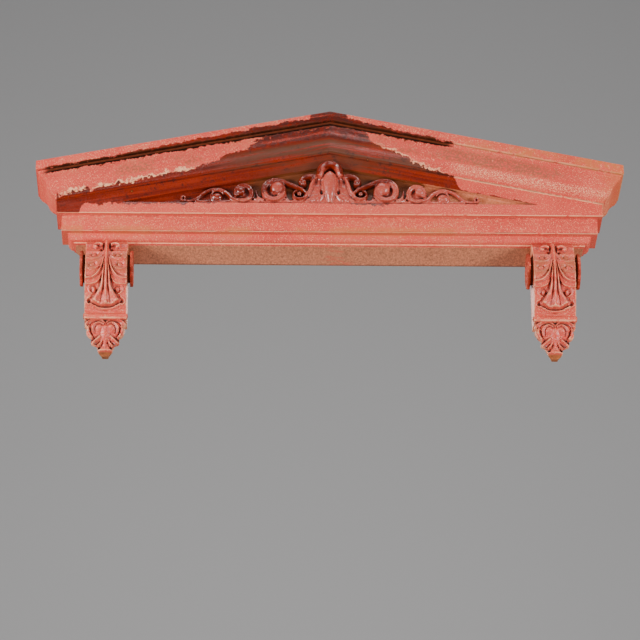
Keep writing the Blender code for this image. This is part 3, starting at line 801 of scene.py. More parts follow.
    # Sunk panel of the tympanum
    sunk = (paint.step(out, BAND_OUT - 0.001, BAND_OUT - 0.0022)
            * paint.step(out, PANEL_OUT - 0.003, PANEL_OUT - 0.001)
            * paint.step(up, TYMPANUM_FLOOR - 0.0014, TYMPANUM_FLOOR - 0.0006)
            * paint.step(raked, 0.104, 0.102))
    ends = paint.step(x + ragged * 1.5, 0.238, 0.244)
    panel = paint.mix(paint.step(x, -0.16, -0.26),
                      paint.mix(streaks, PANEL_OLIVE, PANEL_BROWN), red)
    panel = paint.mix(ends, panel, paint.mix(speckle, SAND, PALE_SAND))
    colour = paint.mix(sunk, colour, panel)
    # Painted shade with dirt near the scrollwork and in the corners of the sunk panel, from ambient
    # occlusion
    crevice_shade_and_dirt = paint.hollows(0.009) * paint.step(out, 0.06, 0.075)
    colour = paint.mix(crevice_shade_and_dirt * 0.7, colour, BROWN)

    # Pale specks along the hollow of the cyma and ochre dirt at the right end
    specks = (right * paint.band(raked, FILLET_TOP + 0.002, FILLET_TOP + 0.015, 0.005)
              * paint.step(fine, 0.52, 0.66))
    colour = paint.mix(specks * 0.8, colour, CREAM)
    dusted = (paint.band(raked, BEAD_TOP - 0.004, CROWN_TOP + 0.01, 0.004)
              * paint.step(x + slow * 0.4, 0.48, 0.9) * paint.step(middle, 0.2, 0.6))
    dusted = paint.most(dusted, paint.step(x + middle * 0.05, 0.7, 0.76) * 0.55)
    colour = paint.mix(dusted * 0.75, colour, OCHRE)
    sandy = (paint.band(x, -0.62, -0.3, 0.06) * paint.step(slow, 0.3, 0.6)
             * paint.band(raked, 0.158, 0.178, 0.006) * paint.step(speckle, 0.4, 0.62))
    sandy = paint.most(sandy,
                       paint.band(x, 0.12, 0.62, 0.05) * paint.step(slow, 0.1, 0.5)
                       * paint.band(raked, 0.162, 0.184, 0.005) * paint.step(speckle, 0.3, 0.56))
    colour = paint.mix(sandy * 0.75, colour, DUST)

    # Sandy underside with one reddish scrape
    soffit = paint.step(up, SOFFIT_UP - 0.0005, SOFFIT_UP - 0.0015)
    colour = paint.mix(soffit * 0.88, colour,
                       paint.mix(speckle, SOFFIT_DARK, SOFFIT_SAND))
    scrape = soffit * paint.step(abs(x - 0.015), 0.06, 0.02)
    scrape = (scrape
              * paint.step(paint.grain(1.0, 3.0, 0.6,
                                       vector=paint.stretched(28.0, 150.0, up, 150.0)), 0.5, 0.6))
    colour = paint.mix(scrape * 0.7, colour, SCRAPE_RED)
    stain = paint.line(up, FRIEZE_FOOT + 0.006, 0.012) * paint.step(slow, 0.4, 0.75) * (1.0 - right)
    colour = paint.mix(stain * 0.45, colour, OCHRE)

    for across, height in NAIL_HEADS:
        place = paint.distance(x - across, up - height)
        colour = paint.mix(paint.step(place, 0.0040, 0.0026), colour, BROWN)
        colour = paint.mix(paint.step(place, 0.002, 0.001) * 0.8, colour, OCHRE)

    red_now = red_zone * (1.0 - grime * 0.6)
    rough = red_now * -0.3 + 0.58
    rough = rough + (middle - 0.5) * 0.14
    rough = rough + groove * 0.3
    paint.surface("Specular IOR Level", (1.0 - groove * 0.85) * 0.5)
    coats = (1.0 - red_zone) * 0.9
    height = coats + (fine * 0.3 + middle * 0.35)
    return paint.finish(colour, rough, height, 0.0007)


def bare_iron():
    """Rusty primer inside the shell and on the fixing flange."""
    paint = Paint("rusty_back", 0.1)
    slow = paint.grain(14.0, 5.0, 0.65, contrast=2.4)
    fine = paint.grain(300.0, 3.0, 0.6, contrast=2.2)
    colour = paint.mix(slow, DARK_RUST, RUST)
    colour = paint.mix(paint.step(fine, 0.6, 0.85) * 0.6, colour, RUST_DUST)
    rough = slow * 0.15 + 0.7
    return paint.finish(colour, rough, slow + fine, 0.0006)


def scroll_paint():
    """Glossy red on the upper parts, pink below and to the right, rubbed ridges with painted
    highlight, painted shade with dirt in the hollows.
    """
    paint = Paint("scroll_gloss_paint")
    colour, _, middle, fine = pink_coat(paint)
    cavity = paint.attribute("cavity")
    height = paint.z - (LOWER_EDGE + TYMPANUM_FLOOR)
    out = -paint.y - PANEL_OUT
    wobble = (paint.grain(70.0, 3.0, 0.6) - 0.5) * 0.02
    level = height + wobble
    red_zone = paint.step(level - paint.curve(paint.x, SCROLL_RED_FOOT), -0.002, 0.002)
    low_side = paint.step(out, 0.010, 0.004)
    red_zone = paint.most(red_zone, low_side * paint.step(paint.x, 0.19, 0.15))
    ball = paint.step(abs(paint.x + 0.136), 0.016, 0.01)
    ball = ball * paint.step(out, 0.017, 0.02) * paint.step(abs(height - 0.045), 0.018, 0.012)
    red_zone = red_zone * (1.0 - ball * 0.85)
    red = paint.mix(middle, GLOSS_RED, DEEP_RED)
    colour = paint.mix(0.50, colour, SCROLL_PINK)
    colour = paint.mix(red_zone, colour, red)
    # Lighter pink on the proudest ridges: rubbed paint and painted highlight
    proud = paint.step(cavity, 0.36, 0.10)
    colour = paint.mix(proud * 0.25, colour, RUBBED_AND_LIT_PINK)
    # Painted shade with dirt in the hollows and close to the panel
    deep = paint.most(paint.step(cavity, 0.60, 0.84), paint.hollows(0.010))
    colour = paint.mix(deep * 0.9, colour, BROWN)
    ground = paint.step(out, 0.0035, 0.0015) * 0.8
    colour = paint.mix(ground, colour, OLIVE)
    paint.surface("Coat Weight", 0.5)
    paint.surface("Coat Roughness", 0.16)
    rough = red_zone * -0.26 + 0.56
    rough = rough + deep * 0.3
    relief = fine * 0.3 + middle * 0.4
    return paint.finish(colour, rough, relief, 0.0006)


def console_paint():
    """Faded pink with rubbed cream edges that also carry painted highlight, brown dirt and painted
    shade in the hollows, and painted shade with dirt on the flanks.
    """
    paint = Paint("console_pink_paint")
    colour, _, middle, fine = pink_coat(paint)
    cavity = paint.attribute("cavity")
    down = -paint.z
    off_centre = abs(abs(paint.x) - CONSOLE_CENTRE)
    face = paint.step(off_centre, 0.0545, 0.0530)
    # Cream on the proud edges of the face: rubbed paint and painted highlight
    rubbed_and_highlit = paint.step(cavity, 0.4, 0.12) * face
    colour = paint.mix(rubbed_and_highlit * paint.step(middle, 0.1, 0.6) * 0.6, colour, CREAM)
    # Rust-brown in the creases: dirt and painted shade
    dirt = paint.step(cavity, 0.58, 0.85) * paint.step(middle, 0.05, 0.45)
    colour = paint.mix(dirt * 0.55, colour, RUST)
    # Dark brown deep in the hollows and close to other pieces: painted shade with dirt
    deep = paint.most(paint.step(cavity, 0.82, 1.0), paint.hollows(0.011))
    colour = paint.mix(deep * 0.85, colour, BROWN)
    lobes = (paint.band(down, 0.03, 0.092, 0.012) * paint.step(middle, 0.25, 0.6)
             * paint.step(off_centre, 0.01, 0.02) * face)
    colour = paint.mix(lobes * 0.6, colour, LEAF_DIRT)
    tip = paint.step(down, 0.2800, 0.2830)
    colour = paint.mix(tip * (1.0 - deep) * 0.9, colour,
                       paint.mix(middle, TIP_OCHRE, TIP_BROWN))
    # Rust-brown on the flanks: painted shade, with some dirt
    flank = (1.0 - face) * paint.step(middle, 0.15, 0.6)
    colour = paint.mix(flank * 0.6, colour, RUST)
    paint.surface("Coat Weight", face * 0.15)
    paint.surface("Specular IOR Level", face * 0.38 + 0.12)
    paint.surface("Coat Roughness", 0.3)
    rough = middle * 0.14 + 0.42
    rough = rough + deep * 0.3
    rough = rough + (1.0 - face) * 0.25
    relief = fine * 0.3 + middle * 0.45
    return paint.finish(colour, rough, relief, 0.0006)


# Scrollwork in the tympanum: across, height over the floor, relief off the panel

def on_panel(across, height, relief):
    return Vector((across, -PANEL_OUT - relief, LOWER_EDGE + TYMPANUM_FLOOR + height))


def ribbon(path, widths, reliefs, sides=8, ridge=0.0):
    """Round-backed band along a path on the panel, with an optional fine middle ridge."""
    rows = []
    for index, (across, height) in enumerate(path):
        before = Vector(path[max(index - 1, 0)])
        after = Vector(path[min(index + 1, len(path) - 1)])
        along = (after - before).normalized()
        side = Vector((-along.y, along.x))
        row = []
        for step in range(sides + 1):
            turn = math.pi * step / sides
            shift = side * math.cos(turn) * widths[index]
            rise = math.sin(turn) ** 0.8 + ridge * bump(turn - math.pi / 2, 0.5)
            row.append(on_panel(across + shift.x, height + shift.y,
                                0.0013 + rise * reliefs[index]))
        for shift in (-side * widths[index], side * widths[index]):
            row.append(on_panel(across + shift.x, height + shift.y, GAP))
        rows.append(row)
    return loft(rows)


def knob(centre, radius, relief, squash=1.0, segments=24):
    """Domed ball that stands on the panel."""
    ball = bmesh.new()
    bmesh.ops.create_uvsphere(ball, u_segments=segments, v_segments=segments // 2, radius=1.0)
    for vertex in ball.verts:
        x, y, z = vertex.co
        height = relief - radius * 0.7 * (1 - z)
        if z < -0.1:
            height = GAP
            spread = max(math.hypot(x, y), 0.1)
            x, y = x / spread, y / spread
        vertex.co = on_panel(centre[0] + x * radius, centre[1] + y * radius * squash, height)
    return ball


def mound(outline, depths, edge_share, sides):
    rows = []
    for (height, half), depth in zip(outline, depths):
        row = []
        for step in range(sides + 1):
            turn = math.pi * step / sides
            swell = edge_share + (1 - edge_share) * math.sin(turn) ** 0.8
            row.append(on_panel(half * math.cos(turn), height, depth * swell))
        row += [on_panel(-half, height, GAP), on_panel(half, height, GAP)]
        rows.append(row)
    return loft(rows)


def mirrored(path, side):
    return [(side * x, z) for x, z in path]


def scroll_unit(side, centre, radius, ball, ball_radius, relief, sweep):
    path = mirrored(spiral(centre, radius * 0.76, radius * 0.66, sweep[0], sweep[1], 40), side)
    count = len(path)
    rim = mirrored(spiral(centre, radius * 0.95, radius * 0.78, sweep[0], sweep[1], 40), side)
    return [ribbon(path, taper(radius * 0.23, radius * 0.27, count),
                   taper(relief * 0.75, relief, count)),
            ribbon(rim, taper(radius * 0.05, radius * 0.07, count),
                   taper(relief * 0.92, relief * 1.12, count)),
            knob((side * centre[0], centre[1]), radius * 0.74, relief * 0.42),
            knob((side * ball[0], ball[1]), ball_radius, relief * 1.25)]


# Strands of one side: points, half width and share of the relief at both ends, ridge, steps
VOLUTE = ([(0.032, 0.076), (0.046, 0.079), (0.060, 0.0775), (0.071, 0.071), (0.0755, 0.061),
           (0.072, 0.0525), (0.065, 0.052), (0.0625, 0.058)], (0.0088, 0.0036), (0.66, 0.58), 0.12)
HIP = ([(0.040, 0.074), (0.047, 0.056), (0.052, 0.038), (0.064, 0.018), (0.078, 0.009)],
       (0.0050, 0.0058), (0.60, 0.48))
ARM = ([(0.148, 0.0675), (0.128, 0.0665), (0.104, 0.056), (0.082, 0.045), (0.065, 0.034),
        (0.061, 0.023), (0.069, 0.014), (0.082, 0.012), (0.092, 0.019), (0.092, 0.030),
        (0.084, 0.034)], (0.0070, 0.0036), (0.56, 0.62), 0.12)
FRONDS = [([start, ((start[0] + end[0]) / 2 + 0.003, (start[1] + end[1]) / 2 - 0.002), end],
           (width, width * 0.35), (0.34, 0.2), 0.0, 5)
          for start, end, width in [((0.106, 0.004), (0.121, 0.032), 0.0050),
                                    ((0.112, 0.004), (0.128, 0.022), 0.0038),
                                    ((0.101, 0.004), (0.112, 0.030), 0.0036)]]
TONGUES = [([(0.170, 0.008), (0.184, 0.018), (0.190, 0.042)], (0.0085, 0.0018), (0.43, 0.2), 0.0, 5),
           ([(0.178, 0.006), (0.193, 0.014), (0.199, 0.030)], (0.0050, 0.0018), (0.43, 0.2), 0.0, 5)]
LEAF = ([(0.204, 0.010), (0.245, 0.012), (0.262, 0.030), (0.288, 0.042), (0.318, 0.034),
         (0.342, 0.014), (0.360, 0.008), (0.377, 0.010)], (0.0060, 0.0038), (0.45, 0.25), 0.15)
LOW = ([(0.255, 0.006), (0.300, 0.006), (0.345, 0.007)], (0.0070, 0.0055), (0.23, 0.2), 0.0, 5)
FOOT = ([(0.070, 0.007), (0.120, 0.0065), (0.200, 0.006), (0.260, 0.006)], (0.0068, 0.0058),
        (0.30, 0.23), 0.0, 5)
FOLDS = [([(0.008, 0.020 + rise), (reach * 0.6, 0.016 + rise / 2), (reach, 0.006)],
          (width * 0.6, width), (0.62, 0.50), 0.0, 5)
         for reach, rise, width in [(0.030, 0.012, 0.0075), (0.046, 0.010, 0.0060),
                                    (0.060, 0.009, 0.0050)]]


def strand(path, widths, reliefs, ridge=0.0):
    """Band along a path that tapers in width and in relief."""
    count = len(path)
    return ribbon(path, taper(*widths, count),
                  taper(SCROLL_RELIEF * reliefs[0], SCROLL_RELIEF * reliefs[1], count),
                  ridge=ridge)


def side_strand(side, knots, widths, reliefs, ridge=0.0, steps=6):
    return strand(mirrored(curve_through(knots, steps), side), widths, reliefs, ridge)


def scroll_side(side):
    """Half of the scrollwork, from the volutes beside the cartouche to the last curl."""
    relief = SCROLL_RELIEF
    solids = [side_strand(side, *VOLUTE), knob((side * 0.0665, 0.0600), 0.0052, relief * 0.72),
              side_strand(side, *HIP), side_strand(side, *ARM),
              knob((side * 0.0785, 0.0250), 0.0058, relief * 0.70)]
    solids += scroll_unit(side, (0.143, 0.0360), 0.035, (0.134, 0.0445), 0.0195,
                          relief * 0.62, (math.radians(84), -0.80))
    solids += [side_strand(side, *shape) for shape in FRONDS + TONGUES]
    solids += scroll_unit(side, (0.222, 0.029), 0.028, (0.229, 0.034), 0.0110,
                          relief * 0.58, (math.radians(-50), -0.95))
    solids.append(side_strand(side, *LEAF))
    solids.append(knob((side * 0.289, 0.0195), 0.0135, relief * 0.50, 0.80))
    ring = mirrored(spiral((0.289, 0.0195), 0.0175, 0.0150, math.radians(160), -0.7, 20), side)
    solids.append(strand(ring, (0.0018, 0.0026), (0.33, 0.33)))
    solids.append(side_strand(side, *LOW))
    curl = mirrored(spiral((0.374, 0.016), 0.0075, 0.003, math.radians(-90), 0.9, 20), side)
    solids.append(strand(curl, (0.0035, 0.0025), (0.30, 0.36)))
    solids += [side_strand(side, *shape) for shape in [FOOT] + FOLDS]
    return solids


def cartouche():
    relief = SCROLL_RELIEF
    boss = [(0.002, 0.006), (0.012, 0.010), (0.028, 0.015), (0.044, 0.0185), (0.060, 0.0195),
            (0.072, 0.0185), (0.081, 0.0140), (0.0865, 0.005)]
    boss = curve_through([(half, height) for height, half in boss], 4)
    boss = [(height, max(half, 0.003)) for half, height in boss]
    depths = [relief * (0.55 + 0.5 * math.sin(math.pi * min(max(height, 0.0) / 0.097, 1.0)
                                              * 0.78)) for height, _ in boss]
    body = [(0.001, 0.088), (0.008, 0.078), (0.016, 0.063), (0.026, 0.055), (0.040, 0.049),
            (0.056, 0.047), (0.068, 0.051), (0.078, 0.049), (0.085, 0.036)]
    solids = [mound(body, [relief * 0.46] * len(body), 0.45, 20),
              mound(boss, depths, 0.3, 20)]
    band = ARCH_REACH * 0.30
    centre_line = ARCH_REACH - band
    arch = [(centre_line * math.cos(math.radians(a)),
             ARCH_SPRING + centre_line * 0.84 * math.sin(math.radians(a)))
            for a in range(-20, 201, 5)]
    foot = ARCH_SPRING - centre_line * 0.75
    arch = [(centre_line * 1.2, foot)] + arch + [(-centre_line * 1.2, foot)]
    solids.append(ribbon(arch, [band] * len(arch), [relief * 0.97] * len(arch)))
    solids.append(ribbon(arch, [band * 0.34] * len(arch), [relief * 1.06] * len(arch)))
    return solids


def carve_scrollwork(piece):
    """Hollows that are too small to model as bands of their own."""
    floor = LOWER_EDGE + TYMPANUM_FLOOR
    for vertex in piece.data.vertices:
        x, y, z = vertex.co
        if y > -PANEL_OUT - 0.004:
            continue
        height = z - floor
        across = abs(x)
        sink = 0.009 * bump(math.hypot((across - 0.0215) / 0.5, height - 0.031), 0.012)
        sink += 0.0030 * bump(math.hypot((across - 0.034) * 1.6, height - 0.062), 0.016)
        sink += 0.0022 * bump(across - 0.0235, 0.004) * bump(height - 0.060, 0.024)
        sink += 0.0008 * noise.noise(Vector((x, y, z)) * 120)
        vertex.co.y = min(y + sink, -PANEL_OUT - 0.0015)


def make_scrollwork(paint):
    solids = cartouche()
    for side in (-1, 1):
        solids += scroll_side(side)
    whole = bmesh.new()
    for solid in solids:
        bmesh.ops.recalc_face_normals(solid, faces=solid.faces)
        made = bpy.data.meshes.new("part")
        solid.to_mesh(made)
        solid.free()
        whole.from_mesh(made)
        bpy.data.meshes.remove(made)
    mesh = bpy.data.meshes.new("painted_scrollwork")
    whole.to_mesh(mesh)
    whole.free()
    piece = bpy.data.objects.new("painted_scrollwork", mesh)
    bpy.context.scene.collection.objects.link(piece)
    remesh = piece.modifiers.new("remesh", "REMESH")
    remesh.mode = "VOXEL"
    remesh.voxel_size = SCROLL_VOXEL
    smooth = piece.modifiers.new("smooth", "SMOOTH")
    smooth.iterations = 6
    smooth.factor = 0.5
    apply_modifiers(piece)
    carve_scrollwork(piece)
    peak = TYMPANUM_FLOOR + tympanum_corner() * RAKE - 2 * GAP
    for vertex in piece.data.vertices:
        x, y, z = vertex.co
        highest = LOWER_EDGE + peak - abs(x) * RAKE
        if y > -BAND_OUT:
            z = min(z, highest)
        vertex.co.z = max(z, LOWER_EDGE + TYMPANUM_FLOOR + GAP)
        vertex.co.y = min(max(y, SCROLL_LOW.y), SCROLL_HIGH.y)
    piece.data.shade_smooth()
    store_cavity(piece, 14, 0.0016)
    piece.data.materials.append(paint)
    return piece


# Consoles: share of the half width across, and share of the drop below the hood's edge

PANEL_PROFILE = [(-0.13, 0.61), (-0.05, 0.77), (0.05, 0.90), (0.15, 0.98), (0.25, 1.00),
                 (0.35, 0.96), (0.45, 0.86), (0.55, 0.74), (0.62, 0.61), (0.69, 0.56)]
DROP_PROFILE = [(0.69, 0.51), (0.75, 0.51), (0.82, 0.44), (0.90, 0.34), (0.955, 0.30),
                (1.0, 0.16)]
DROP_OUTLINE = [(187, 48), (193, 51), (200, 52), (206, 49), (210, 44), (215, 47.5),
                (222, 47), (229, 42), (233, 34.5), (238, 35.5), (243, 36), (247, 32),
                (251, 21), (256, 18.5), (262, 19), (267, 14), (271, 8.6)]
PANEL_FOOT = 0.640
BAND_END = 0.690
BAND_STEP = 0.003
HALF_MM = 1000 * CONSOLE_WIDTH / 2

# Carving in millimetres across from the middle and down from the hood's edge. A stroke has
# the points of its path, its half width and its height, both from its start to its end.
STEM_EDGE = [(-35, 5.5), (-10, 4.6), (12, 4.4), (40, 5.4), (66, 7.8), (87, 10.2), (108, 13),
             (120, 18), (130, 25), (140, 32), (147, 35)]
UPPER_LEAF_EDGE = [(0, 16), (8, 40), (12, 58), (17, 72), (26, 86.5), (37, 94.5), (54, 97)]
LOWER_LEAF_EDGE = [(0, 60), (12, 84), (18, 98), (27, 106), (38, 109), (54, 109.5)]
PANEL_RIDGES = [
    ([(6.5, 34), (10.5, 54), (15.5, 69), (24.5, 83), (36, 91), (52, 93.5)], (3, 5), (7.4, 10.4)),
    ([(9, 26), (20, 35), (34, 39), (50, 36)], (3.4, 4.6), (7, 8)),
    ([(13, 58), (24, 65), (40, 68), (51, 63)], (2.6, 3.2), (6.6, 7.2)),
    ([(14, 90), (20, 100), (29, 105), (40, 106.5), (53, 106.5)], (2.4, 3.2), (4.6, 6)),
    ([(40, 110), (43.5, 117), (39, 126), (31, 130)], (3, 3), (2.4, 2)),
    ([(38, 136), (46, 140), (48.5, 148), (42, 154)], (2.8, 2.8), (1.6, 3)),
    ([(0, 163), (15, 162), (27, 158.5), (37, 153.5)], (3.2, 3.6), (3.4, 3.2)),
    ([(26, 158), (30, 158)], (4, 4), (4.4, 4.4)),
    ([(0, 169), (20, 166.5), (38, 160)], (3, 3), (1.6, 1.4)),
    ([(13, -15), (20, -18), (29, -14), (32, -8), (27, -5)], (6, 6), (8, 10))]
STEM_RIDGES = [
    ([(0, -30), (0, 40), (0, 90), (0, 128), (0, 153)], (2.4, 5.4), (3, 5.4)),
    ([(3.4, 40), (6.6, 70), (9.4, 95), (11.5, 113), (18, 131), (28, 146)], (2, 8), (2.2, 6.2))]
STEM_GROOVES = [([(2.8, 30), (4.4, 80), (6, 112), (9, 134), (13, 152)], (1.4, 4.6), (1, 3.8))]
PANEL_GROOVES = [
    ([(10, 44), (15, 60), (22, 72), (32, 80.5), (47, 84)], (2.6, 5), (0.8, 2.8)),
    ([(26, 23), (34, 24)], (8.4, 8.4), (5.4, 5.4)),
    ([(30, 53), (39, 54)], (8.4, 8.4), (5.6, 5.6)),
    ([(12, 92), (16.5, 110), (24, 123), (34, 136), (40, 143)], (3, 4), (1.6, 2.6)),
    ([(28.5, 117), (30.5, 118)], (12, 12), (5, 5)),
    ([(42, 145), (43, 147)], (5, 5), (4.4, 4.4)),
    ([(0, 157.6), (18, 156), (30, 151.5), (39, 147)], (2.2, 2), (4.4, 3.4)),
    ([(12.5, 5), (13, 9)], (5.5, 5.5), (7, 8)),
    ([(8, -24), (8, 2)], (2.6, 2.6), (4, 5))]
BERRY = ([(29.5, 117), (29.5, 118.5)], (7, 7), (6.6, 6.6))
LEAF_BUDS = [([(29, 23), (33, 24)], (4.4, 4.4), (4.6, 4.6)),
             ([(33, 53), (38, 54)], (4.6, 4.6), (4.8, 4.8))]
DROP_CORE = [(187, 49), (200, 46), (211, 36), (225, 29), (245, 20), (256, 14), (271, 7.4)]
DROP_RIDGES = [
    ([(2.5, 194), (9, 188), (22, 186.5), (36, 188), (45, 193), (49, 201), (46, 208), (41, 205)],
     (2.6, 3.8), (3, 5.4)),
    ([(4.5, 198), (16, 192.5), (27, 198), (32.5, 207), (33, 217)], (2.2, 3.2), (2.4, 3.6)),
    ([(14, 206), (17, 211)], (10, 10), (3.6, 3.6)),
    ([(0, 210), (0, 232)], (13, 12), (3.6, 4.2)),
    ([(43, 211), (42.5, 219), (36, 229)], (4.6, 4.6), (5, 4.4)),
    ([(13, 229), (22, 236), (30, 243)], (3.6, 4.8), (4, 5)),
    ([(8, 238), (13, 246), (18, 250.5)], (2.8, 3.6), (3.4, 4)),
    ([(0, 236), (0, 250)], (3.4, 4.2), (3.4, 3.6)),
    ([(0, 262), (12, 262)], (9, 7), (4, 3))]
DROP_GROOVES = [
    ([(12, 190.5), (28, 191.5), (38.5, 198), (40, 211)], (2, 3), (2, 3.4)),
    ([(7, 201), (15, 197), (23, 202), (26, 211), (25, 220)], (1.8, 2.2), (1.8, 2.4)),
    ([(3, 194), (3.2, 211)], (1.5, 1.5), (2.4, 1.2)),
    ([(35.5, 212), (34.5, 222), (28, 231)], (2.8, 2.4), (3, 3)),
    ([(12, 222), (24, 230), (35, 237)], (2, 3), (1.4, 4)),
    ([(6, 240), (9, 250)], (1.6, 2.2), (1.6, 2.6)),
    ([(13, 238), (22, 247)], (1.6, 2), (2, 2.6)),
    ([(14, 254), (16, 255.5)], (4.6, 4.6), (6, 6))]


def rise_over(value, width):
    """0 below the edge of something and 1 past it, over a short slope."""
    share = np.clip(value / width + 0.5, 0.0, 1.0)
    return share * share * (3 - 2 * share)


def along(knots, value):
    """Size at a place, from a smooth curve through (place, size) knots."""
    places, sizes = zip(*curve_through(knots, 6))
    return np.interp(value, places, sizes)


def stroke(across, down, knots, widths, heights):
    """Rounded ridge along a smooth path, in millimetres."""
    path = curve_through(knots, 5)
    relief = np.zeros_like(across)
    for index, ((ax, ay), (bx, by)) in enumerate(zip(path, path[1:])):
        length = (bx - ax) ** 2 + (by - ay) ** 2
        share = np.clip(((across - ax) * (bx - ax) + (down - ay) * (by - ay)) / length, 0, 1)
        gap = (across - ax - share * (bx - ax)) ** 2 + (down - ay - share * (by - ay)) ** 2
        share = (index + share) / (len(path) - 1)
        width = widths[0] + (widths[1] - widths[0]) * share
        height = heights[0] + (heights[1] - heights[0]) * share
        near = np.clip(1 - gap / width ** 2, 0, 1)
        relief = np.maximum(relief, height * near ** 1.3)
    return relief


def strokes(across, down, shapes):
    return np.max([stroke(across, down, *shape) for shape in shapes], axis=0)


def panel_relief(across, down):
    """Leaf over the front: a long stem that spreads to a lipped foot between two leaves."""
    upper = rise_over(along(UPPER_LEAF_EDGE, across) - down, 2.4) * rise_over(down - 10, 9)
    lower = rise_over(along(LOWER_LEAF_EDGE, across) - down, 2.4) * rise_over(down - 40, 20)
    relief = np.maximum(upper * (4.2 - 1.6 * (across / HALF_MM) ** 2), lower * 2.6)
    relief = np.maximum(relief, strokes(across, down, PANEL_RIDGES))
    for groove in PANEL_GROOVES:
        relief -= stroke(across, down, *groove)
    relief += strokes(across, down, LEAF_BUDS) + stroke(across, down, *BERRY)
    half = along(STEM_EDGE, down)
    foot = 156 - 12 * (across / 36) ** 2
    inside = rise_over(half - across, 2.6) * rise_over(foot - down, 3.2)
    share = np.clip(across / half, 0, 1)
    stem = 3 + 4.5 * np.sqrt(1 - 0.85 * share ** 2)
    stem += strokes(across, down, STEM_RIDGES) - stroke(across, down, *STEM_GROOVES[0])
    return np.where(inside > 0, np.maximum(relief, 0) * (1 - inside) + stem * inside
                    + np.minimum(relief, 0) * (1 - inside), relief) / 1000


def drop_relief(across, down):
    """Pendant leaf: two scrolled lobes, smaller ones below and a boss at the tip."""
    relief = 1.35 * strokes(across, down, DROP_RIDGES)
    for groove in DROP_GROOVES:
        relief -= stroke(across, down, *groove)
    return relief / 1000


def console_rows():
    half = CONSOLE_WIDTH / 2
    highest = -(SOFFIT_UP - 2 * GAP) / CONSOLE_DROP
    columns = np.linspace(-1, 1, CONSOLE_COLUMNS)
    rows = []
    for index in range(CONSOLE_ROWS + 1):
        down = highest + (1.0 - highest) * index / CONSOLE_ROWS
        z = -CONSOLE_DROP * down
        relief = np.zeros_like(columns)
        if down < PANEL_FOOT:
            edge = core = half
            front = CONSOLE_DEPTH * blend(PANEL_PROFILE, down)
            relief = panel_relief(np.abs(columns) * HALF_MM, np.full_like(columns, -1000 * z))
        elif down < BAND_END:
            part = (down - PANEL_FOOT) / (BAND_END - PANEL_FOOT)
            lift = bump(part - 0.45, 0.62) ** 0.5
            edge = half + BAND_STEP * lift
            core = half
            front = CONSOLE_DEPTH * blend(PANEL_PROFILE, PANEL_FOOT) + BAND_STEP * lift
        else:
            edge = float(along(DROP_OUTLINE, -1000 * z)) / 1000
            core = min(edge * 0.95, float(along(DROP_CORE, -1000 * z)) / 1000)
            front = CONSOLE_DEPTH * blend(DROP_PROFILE, down)
            relief = drop_relief(np.abs(columns) * edge * 1000, np.full_like(columns, -1000 * z))
        relief = relief * rise_over(1 - np.abs(columns), 0.05)
        rows.append(console_slice(edge, core, front, z, relief))
    return rows


def console_slice(edge, core, front, z, relief):
    """One closed loop round the console, from the wall over the front and back."""
    back = 0.0
    if z > -GAP:
        back = WALL + (z + 2 * GAP) * (SOFFIT_OUT - WALL) / SOFFIT_UP
    wing = min(0.012, front * 0.4)
    side = [(core, back), (core, (back + front - wing) / 2), (core, front - wing),
            (edge, front - wing * 0.75), (edge * 0.996, front - 0.0012)]
    loop = [(-x, -out, z) for x, out in side]
    for column in range(CONSOLE_COLUMNS):
        place = -1 + 2 * column / (CONSOLE_COLUMNS - 1)
        loop.append((place * edge * 0.99, -front - float(relief[column]), z))
    loop += [(x, -out, z) for x, out in reversed(side)]
    return loop


def console_room():
    """The hollow of a console, open at the wall."""
    half = CONSOLE_WIDTH / 2 - CONSOLE_WALL
    rows = []
    for down in np.linspace(CONSOLE_ROOM_TOP, CONSOLE_ROOM_FOOT, 5):
        front = CONSOLE_DEPTH * blend(PANEL_PROFILE, down) - CONSOLE_WALL
        rows.append([(x, -out, -CONSOLE_DROP * down) for x, out in
                     [(-half, -0.01), (-half, front - 0.01), (-half * 0.8, front),
                      (half * 0.8, front), (half, front - 0.01), (half, -0.01)]])
    return loft(list(reversed(rows)))


def ear(side):
    """Scrolled disc on the flank, its face wound as a volute towards a raised eye."""
    start = CONSOLE_WIDTH / 2 - 0.0045
    neck = CONSOLE_WIDTH / 2 + EAR_NECK
    face = neck + EAR_THICKNESS
    turned = [(start, EAR_RADIUS - 0.010), (neck, EAR_RADIUS - 0.010), (neck, EAR_RADIUS - 0.001),
              (neck + 0.001, EAR_RADIUS), (face - 0.002, EAR_RADIUS)]
    rows = []
    for across, radius in turned:
        rows.append([(side * across, radius, turn) for turn in range(EAR_STEPS)])
    for ring in range(EAR_RINGS):
        radius = (EAR_RADIUS - 0.001) * (1 - ring / EAR_RINGS)
        row = []
        for turn in range(EAR_STEPS):
            angle = side * 2 * math.pi * turn / EAR_STEPS
            wind = (radius / EAR_RADIUS * 2.6 - angle / (2 * math.pi)) % 1.0
            groove = bump(wind - 0.5, 0.34) * min(ring / 3, 1.0)
            groove *= min(radius / 0.010, 1.0)
            row.append((side * (face - EAR_GROOVE * groove), radius, turn))
        rows.append(row)
    placed = []
    for row in rows:
        placed.append([(across, -EAR_OUT + radius * math.cos(2 * math.pi * turn / EAR_STEPS),
                        -EAR_DOWN + radius * math.sin(2 * math.pi * turn / EAR_STEPS))
                       for across, radius, turn in row])
    return loft(placed)


